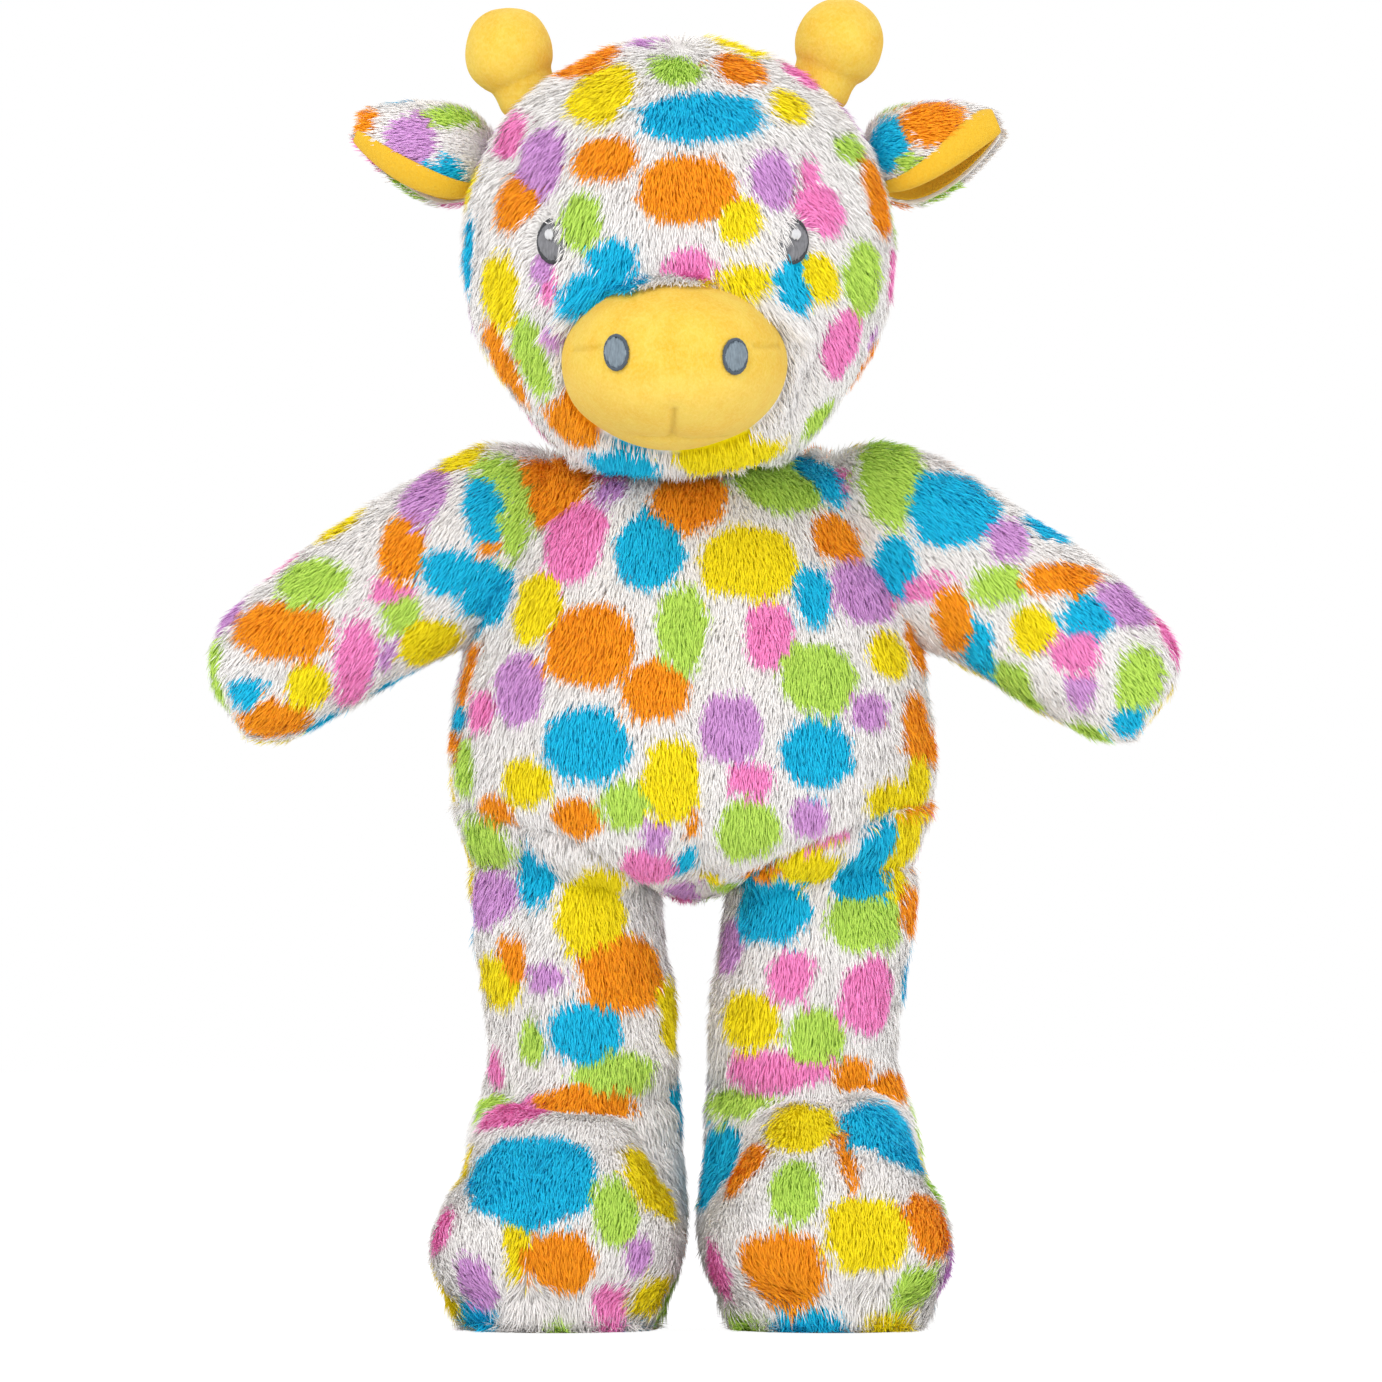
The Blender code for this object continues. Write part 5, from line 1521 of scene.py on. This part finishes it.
# Arms and legs
for side, side_name in SIDES:
    arm = arm_skins[side_name][0]
    bpy.context.view_layer.update()
    tree = surface_of(arm)
    body = f"arm_{side_name}"
    pivot = Vector((side * SHOULDER_X, MIDDLE_Y, SHOULDER_Z))
    under = [pivot + arm_way(side) * t for t in np.linspace(0.01, 0.10, 30)]
    seams = [around_path(tree, under, (0, 0, 1)), around_path(tree, under, (0, -1, 0))]
    settle(arm, seams, seen_folds(tree, body), lump=0.0009, seed=13 + side)
    lay_spots(arm, SEEN, 40 + side, count=26)
    points = points_of(arm.data)
    way = 0.55 * DOWN + 0.8 * np.array(arm_way(side)) + 0.3 * wander(points, 30, 15 + side)
    comb_along(arm, way, bare(depth_in(points, torso_whole)), np.ones(len(points)))
    arm.data.materials.append(BACKING_FINISH)
    bend = dict(a="torso", b=body, start=pivot, end=pivot + arm_way(side) * ARM_BEND)
    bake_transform(arm)
    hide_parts(body, f"arm_stuffing_{side_name}")
    grow_pile(arm, f"arm_{side_name}_pile", bend, 17 + side)

    leg = leg_skins[side_name][0]
    soften(leg, 0.112, 0.164, 26)
    soften(leg, 0.050, 0.096, 10)
    tree = surface_of(leg)
    body = f"leg_{side_name}"
    seams = seen_seams(tree, body)
    behind = [(side * HIP_X, 0, z) for z in np.linspace(0.03, 0.12, 30)]
    seams.append(around_path(tree, behind, (0, -1, 0)))
    settle(leg, seams, seen_folds(tree, body), lump=0.0010, seed=19 + side)
    points, normals = points_of(leg.data), normals_of(leg.data)
    side_out = np.clip((side * points[:, 0] - 0.052) / 0.014, 0, 1)
    hip = bell(points[:, 2] - 0.1475, 0.0110) * (0.35 + 0.65 * side_out) * (points[:, 0] * side > 0.02)
    heel = np.clip((0.013 - points[:, 2]) / 0.007, 0, 1) * (np.abs(normals[:, 2]) < 0.8)
    outer = bell(points[:, 2] - 0.062, 0.013) * np.clip(side * normals[:, 0], 0, 1)
    move_points(leg.data, points + normals * (0.0082 * hip + 0.0014 * heel + 0.0034 * outer)[:, None])
    lay_spots(leg, SEEN, 50 + side, count=40)
    points = points_of(leg.data)
    toe = np.clip((0.07 - points[:, 2]) / 0.03, 0, 1) * np.clip((0.0 - points[:, 1]) / 0.03, 0, 1)
    way = DOWN + toe[:, None] * np.array([0, -1.1, 0.2]) + 0.25 * wander(points, 30, 23 + side)
    turned = Matrix.Rotation(math.radians(-side * 7), 3, "Z")
    shifted = (points - np.array([side * FOOT_X, MIDDLE_Y - 0.020, 0])) @ np.array(turned).T
    on_sole = (
        np.hypot(shifted[:, 0] / (0.76 * FOOT_HALF_WIDTH), shifted[:, 1] / 0.040) < 0.94
    ) & (points[:, 2] < 0.0048)
    rim = np.clip((0.016 - points[:, 2]) / 0.009, 0, 1)
    out = np.stack([shifted[:, 0] / FOOT_HALF_WIDTH, shifted[:, 1] / 0.045, 0 * rim], axis=1) @ np.array(turned)
    way = way * (1 - rim)[:, None] + (DOWN + 0.7 * out) * rim[:, None]
    comb_along(leg, way, np.where(on_sole, 0.0, bare(depth_in(points, torso_whole))), 1.0 + 0.8 * rim)
    leg.data.materials.append(BACKING_FINISH)
    start, end = (Vector((side * HIP_X, HIP_Y, z)) for z in HIP_BEND)
    bend = dict(a="torso", b=body, start=start, end=end)
    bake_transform(leg)
    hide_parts(body, f"leg_stuffing_{side_name}")
    front = points[:, 1] < FOLD_Y + 0.010
    grow_halves(leg, f"leg_{side_name}_pile", bend, (25 + side, 28 + side), front)

# Ossicones
VELBOA = velboa_material("ossicone velboa", "velboa", "velboa deep", "velboa pale")
for side, side_name in SIDES:
    lean = math.radians(OSSICONE_LEAN)
    way = Vector((side * math.sin(lean), 0, math.cos(lean)))
    root = Vector(OSSICONE_ROOT[side_name])
    across = way.cross(Vector((0, 1, 0)))
    rings = []
    ball = OSSICONE_LENGTH - OSSICONE_BALL
    for up, radius in ((0.0, 0.0104), (0.005, 0.0098), (0.0095, 0.0102)):
        rings.append((up, radius))
    for angle in (128, 104, 80, 56, 30):
        turn = math.radians(angle)
        rings.append((ball + OSSICONE_BALL * math.cos(turn), OSSICONE_BALL * math.sin(turn)))
    rings = [(root + way * up, across * radius, Vector((0, radius, 0))) for up, radius in rings]
    horn = rounded(loft("horn", root - way * 0.004, rings, root + way * OSSICONE_LENGTH, 12), 3)
    horn = plain(horn, f"ossicone_{side_name}_velboa")
    tree = surface_of(horn)
    points, normals = points_of(horn.data), normals_of(horn.data)
    pull = 0.0007 * lumps(points, 90, 6 + side)
    seam = around_path(tree, [root + way * t for t in np.linspace(0.004, 0.033, 20)], (side, 0, -0.2))
    if len(seam) > 1:
        pull = pull - 0.0007 * np.exp(-((to_path(points, seam) / 0.0013) ** 2))
    move_points(horn.data, points + normals * pull[:, None])
    horn.data.materials.append(VELBOA)
    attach(horn, f"ossicone_{side_name}")
    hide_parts(f"ossicone_{side_name}", f"ossicone_stuffing_{side_name}")


def ear_leaf(name, side, turns, sink, shares=EAR_SHARES, wall=0.0):
    """A strip of a folded leaf: rings from its root to its tip, open below."""
    rise = math.radians(EAR_RISE)
    way = Vector((side * math.cos(rise), 0, math.sin(rise)))
    root = Vector(EAR_ROOT["left" if side > 0 else "right"])
    front = Vector((0, -1, 0))
    up = Vector((0, 0, 1))
    up = (up - way * up.dot(way)).normalized()
    work = bmesh.new()
    loops = []
    for along, half in shares:
        middle = root + way * along * EAR_LENGTH
        loop = []
        for angle, out in turns(along):
            turn = math.radians(angle)
            radius = max(half * EAR_HALF_HEIGHT - sink - out, 0.0012)
            loop.append(work.verts.new(middle + (up * math.cos(turn) + front * math.sin(turn)) * radius))
        loops.append(loop)
    for low, high in zip(loops, loops[1:]):
        for i in range(len(low) - 1):
            corners = (low[i], low[i + 1], high[i + 1], high[i])
            work.faces.new(corners if side < 0 else corners[::-1])
    mesh = bpy.data.meshes.new(name)
    work.to_mesh(mesh)
    work.free()
    mesh.shade_smooth()
    made = put(name, mesh)
    if wall:
        changed(made, "SOLIDIFY", thickness=wall, offset=-1.0)
    rounded(made, 2)
    return plain(made, name), way, root


def leaf_edge(side_name, along):
    """The front edge of the folded leaf, in degrees from its top."""
    return np.interp(along, *zip(*EAR_EDGES[side_name]))


def lip_width(side_name, along):
    """How far up the leaf's front the lining turns over, in degrees."""
    return np.interp(along, *zip(*EAR_LIPS[side_name]))


def lining_turns(side_name, along):
    edge = leaf_edge(side_name, along)
    top = edge - lip_width(side_name, along) - 5
    strip = [
        (top + (edge + 6 - top) * t, out)
        for t, out in ((0.0, 0.0006), (0.25, -0.0004), (0.6, -0.0006), (0.85, -0.0006))
    ]
    turned = [(edge + 6, 0.0004), (edge + 7, 0.0018), (edge + 2, 0.0032)]
    return strip + turned + [(edge - 10 - (edge - 10 - EAR_BACK) * i / 9, 0.0034) for i in range(10)]


# Ears: a plush leaf outside, velboa inside that turns out over the front lip
EAR_FINISH = velboa_material("ear lining velboa", "velboa deep", "velboa deep", "velboa")
for side, side_name in SIDES:
    leaf = lambda along: [
        (edge - (edge - EAR_BACK) * i / 12, 0.0) for edge in [leaf_edge(side_name, along)] for i in range(13)
    ]
    ear, way, root = ear_leaf(f"ear_{side_name}_backing", side, leaf, 0.0016, wall=0.0012)
    points, normals = points_of(ear.data), normals_of(ear.data)
    middle = np.array(root) + ((points - np.array(root)) @ np.array(way))[:, None] * np.array(way)
    outward = np.sum((points - middle) * normals, axis=1) > 0
    seen = seen_spots([surface_of(ear)], EAR_SPOTS[side_name])
    lay_spots(ear, seen, 60 + side, size=(0.005, 0.008), count=8)
    along = (points - np.array(root)) @ np.array(way) / EAR_LENGTH
    out = points - middle
    above = Vector((0, 0, 1)) - way * way.z
    turned = np.degrees(np.arctan2(-out[:, 1], out @ np.array(above.normalized())))
    furred = outward & (
        turned < leaf_edge(side_name, along) - lip_width(side_name, along) + 3 * lumps(points, 300, 5)
    )
    comb_along(ear, np.array(way) * 0.8 + DOWN * 0.35, np.where(furred, 1.0, 0.0), np.full(len(points), 0.7))
    ear.data.materials.append(BACKING_FINISH)
    body = f"ear_{side_name}"
    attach(ear, body)
    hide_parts(body)
    pile = grow_pile(ear, f"ear_{side_name}_pile", body, 31 + side)
    lining, _, _ = ear_leaf(
        f"ear_{side_name}_velboa", side, lambda along: lining_turns(side_name, along), 0.0, wall=0.0008
    )
    lining.data.materials.append(EAR_FINISH)
    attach(lining, body)
    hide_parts(f"ear_lining_{side_name}")

# Tail
slope = math.radians(TAIL_SLOPE)
way = Vector((0, math.cos(slope), -math.sin(slope)))
across, root = Vector((1, 0, 0)), Vector(TAIL_ROOT)
deep = way.cross(across)
rings = dome_rings(root, way, across, deep, TAIL_RADIUS, TAIL_RADIUS)
rings += [
    (root + way * along * TAIL_LENGTH, across * size * TAIL_RADIUS, deep * size * TAIL_RADIUS)
    for along, size in TAIL_SHARES
]
form = rounded(loft("tail_form", root - way * TAIL_RADIUS, rings, root + way * TAIL_LENGTH, 8))
tail, _ = backing("tail_backing", form, sunk=0.0020, step=0.0013)
lay_spots(tail, [], 71, front=False, size=(0.004, 0.006), count=6)
comb_along(tail, way, None, np.full(len(tail.data.vertices), 0.55))
start = root + way * (TAIL_LENGTH - TUFT_OVERLAP)
rings = [
    (start + way * along * TUFT_LENGTH, across * size * TUFT_RADIUS, deep * size * TUFT_RADIUS)
    for along, size in TUFT_SHARES
]
form = rounded(loft("tuft_form", start, rings, start + way * TUFT_LENGTH, 8))
tuft, _ = backing("tail_tuft_backing", form, sunk=0.0036, step=0.0013)
count = len(tuft.data.vertices)
note(tuft.data, "spot_edge", np.full(count, 0.01))
note(tuft.data, "spot_tone", np.full(len(tuft.data.polygons), TONES.index("orange")), "INT", "FACE")
note(tuft.data, "pile_colour", np.tile(paint("orange"), (count, 1)), "FLOAT_COLOR")
comb_along(tuft, way, None, np.full(count, 1.2))
for piece, slot, node in ((tail, "spotted_plush", "tail"), (tuft, "spotted_plush", "tail_tuft")):
    piece.data.materials.append(BACKING_FINISH)
    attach(piece, "tail")
    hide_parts(node)
grow_pile(tail, "tail_pile", "tail", 35)
grow_pile(tuft, "tail_tuft_pile", "tail", 36, Stand=0.3)

# Soles keep their solids
SOLE_FINISH = velboa_material("sole velboa", "velboa", "velboa deep", "velboa pale")
for side_name in ("left", "right"):
    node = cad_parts[f"sole_{side_name}"]
    for slot in node.material_slots:
        slot.material = SOLE_FINISH

for thing in [*hip_blocks.values(), necks, floor_cut, STRAND, THREAD]:
    bpy.data.objects.remove(thing)

scene.view_settings.view_transform = "Standard"
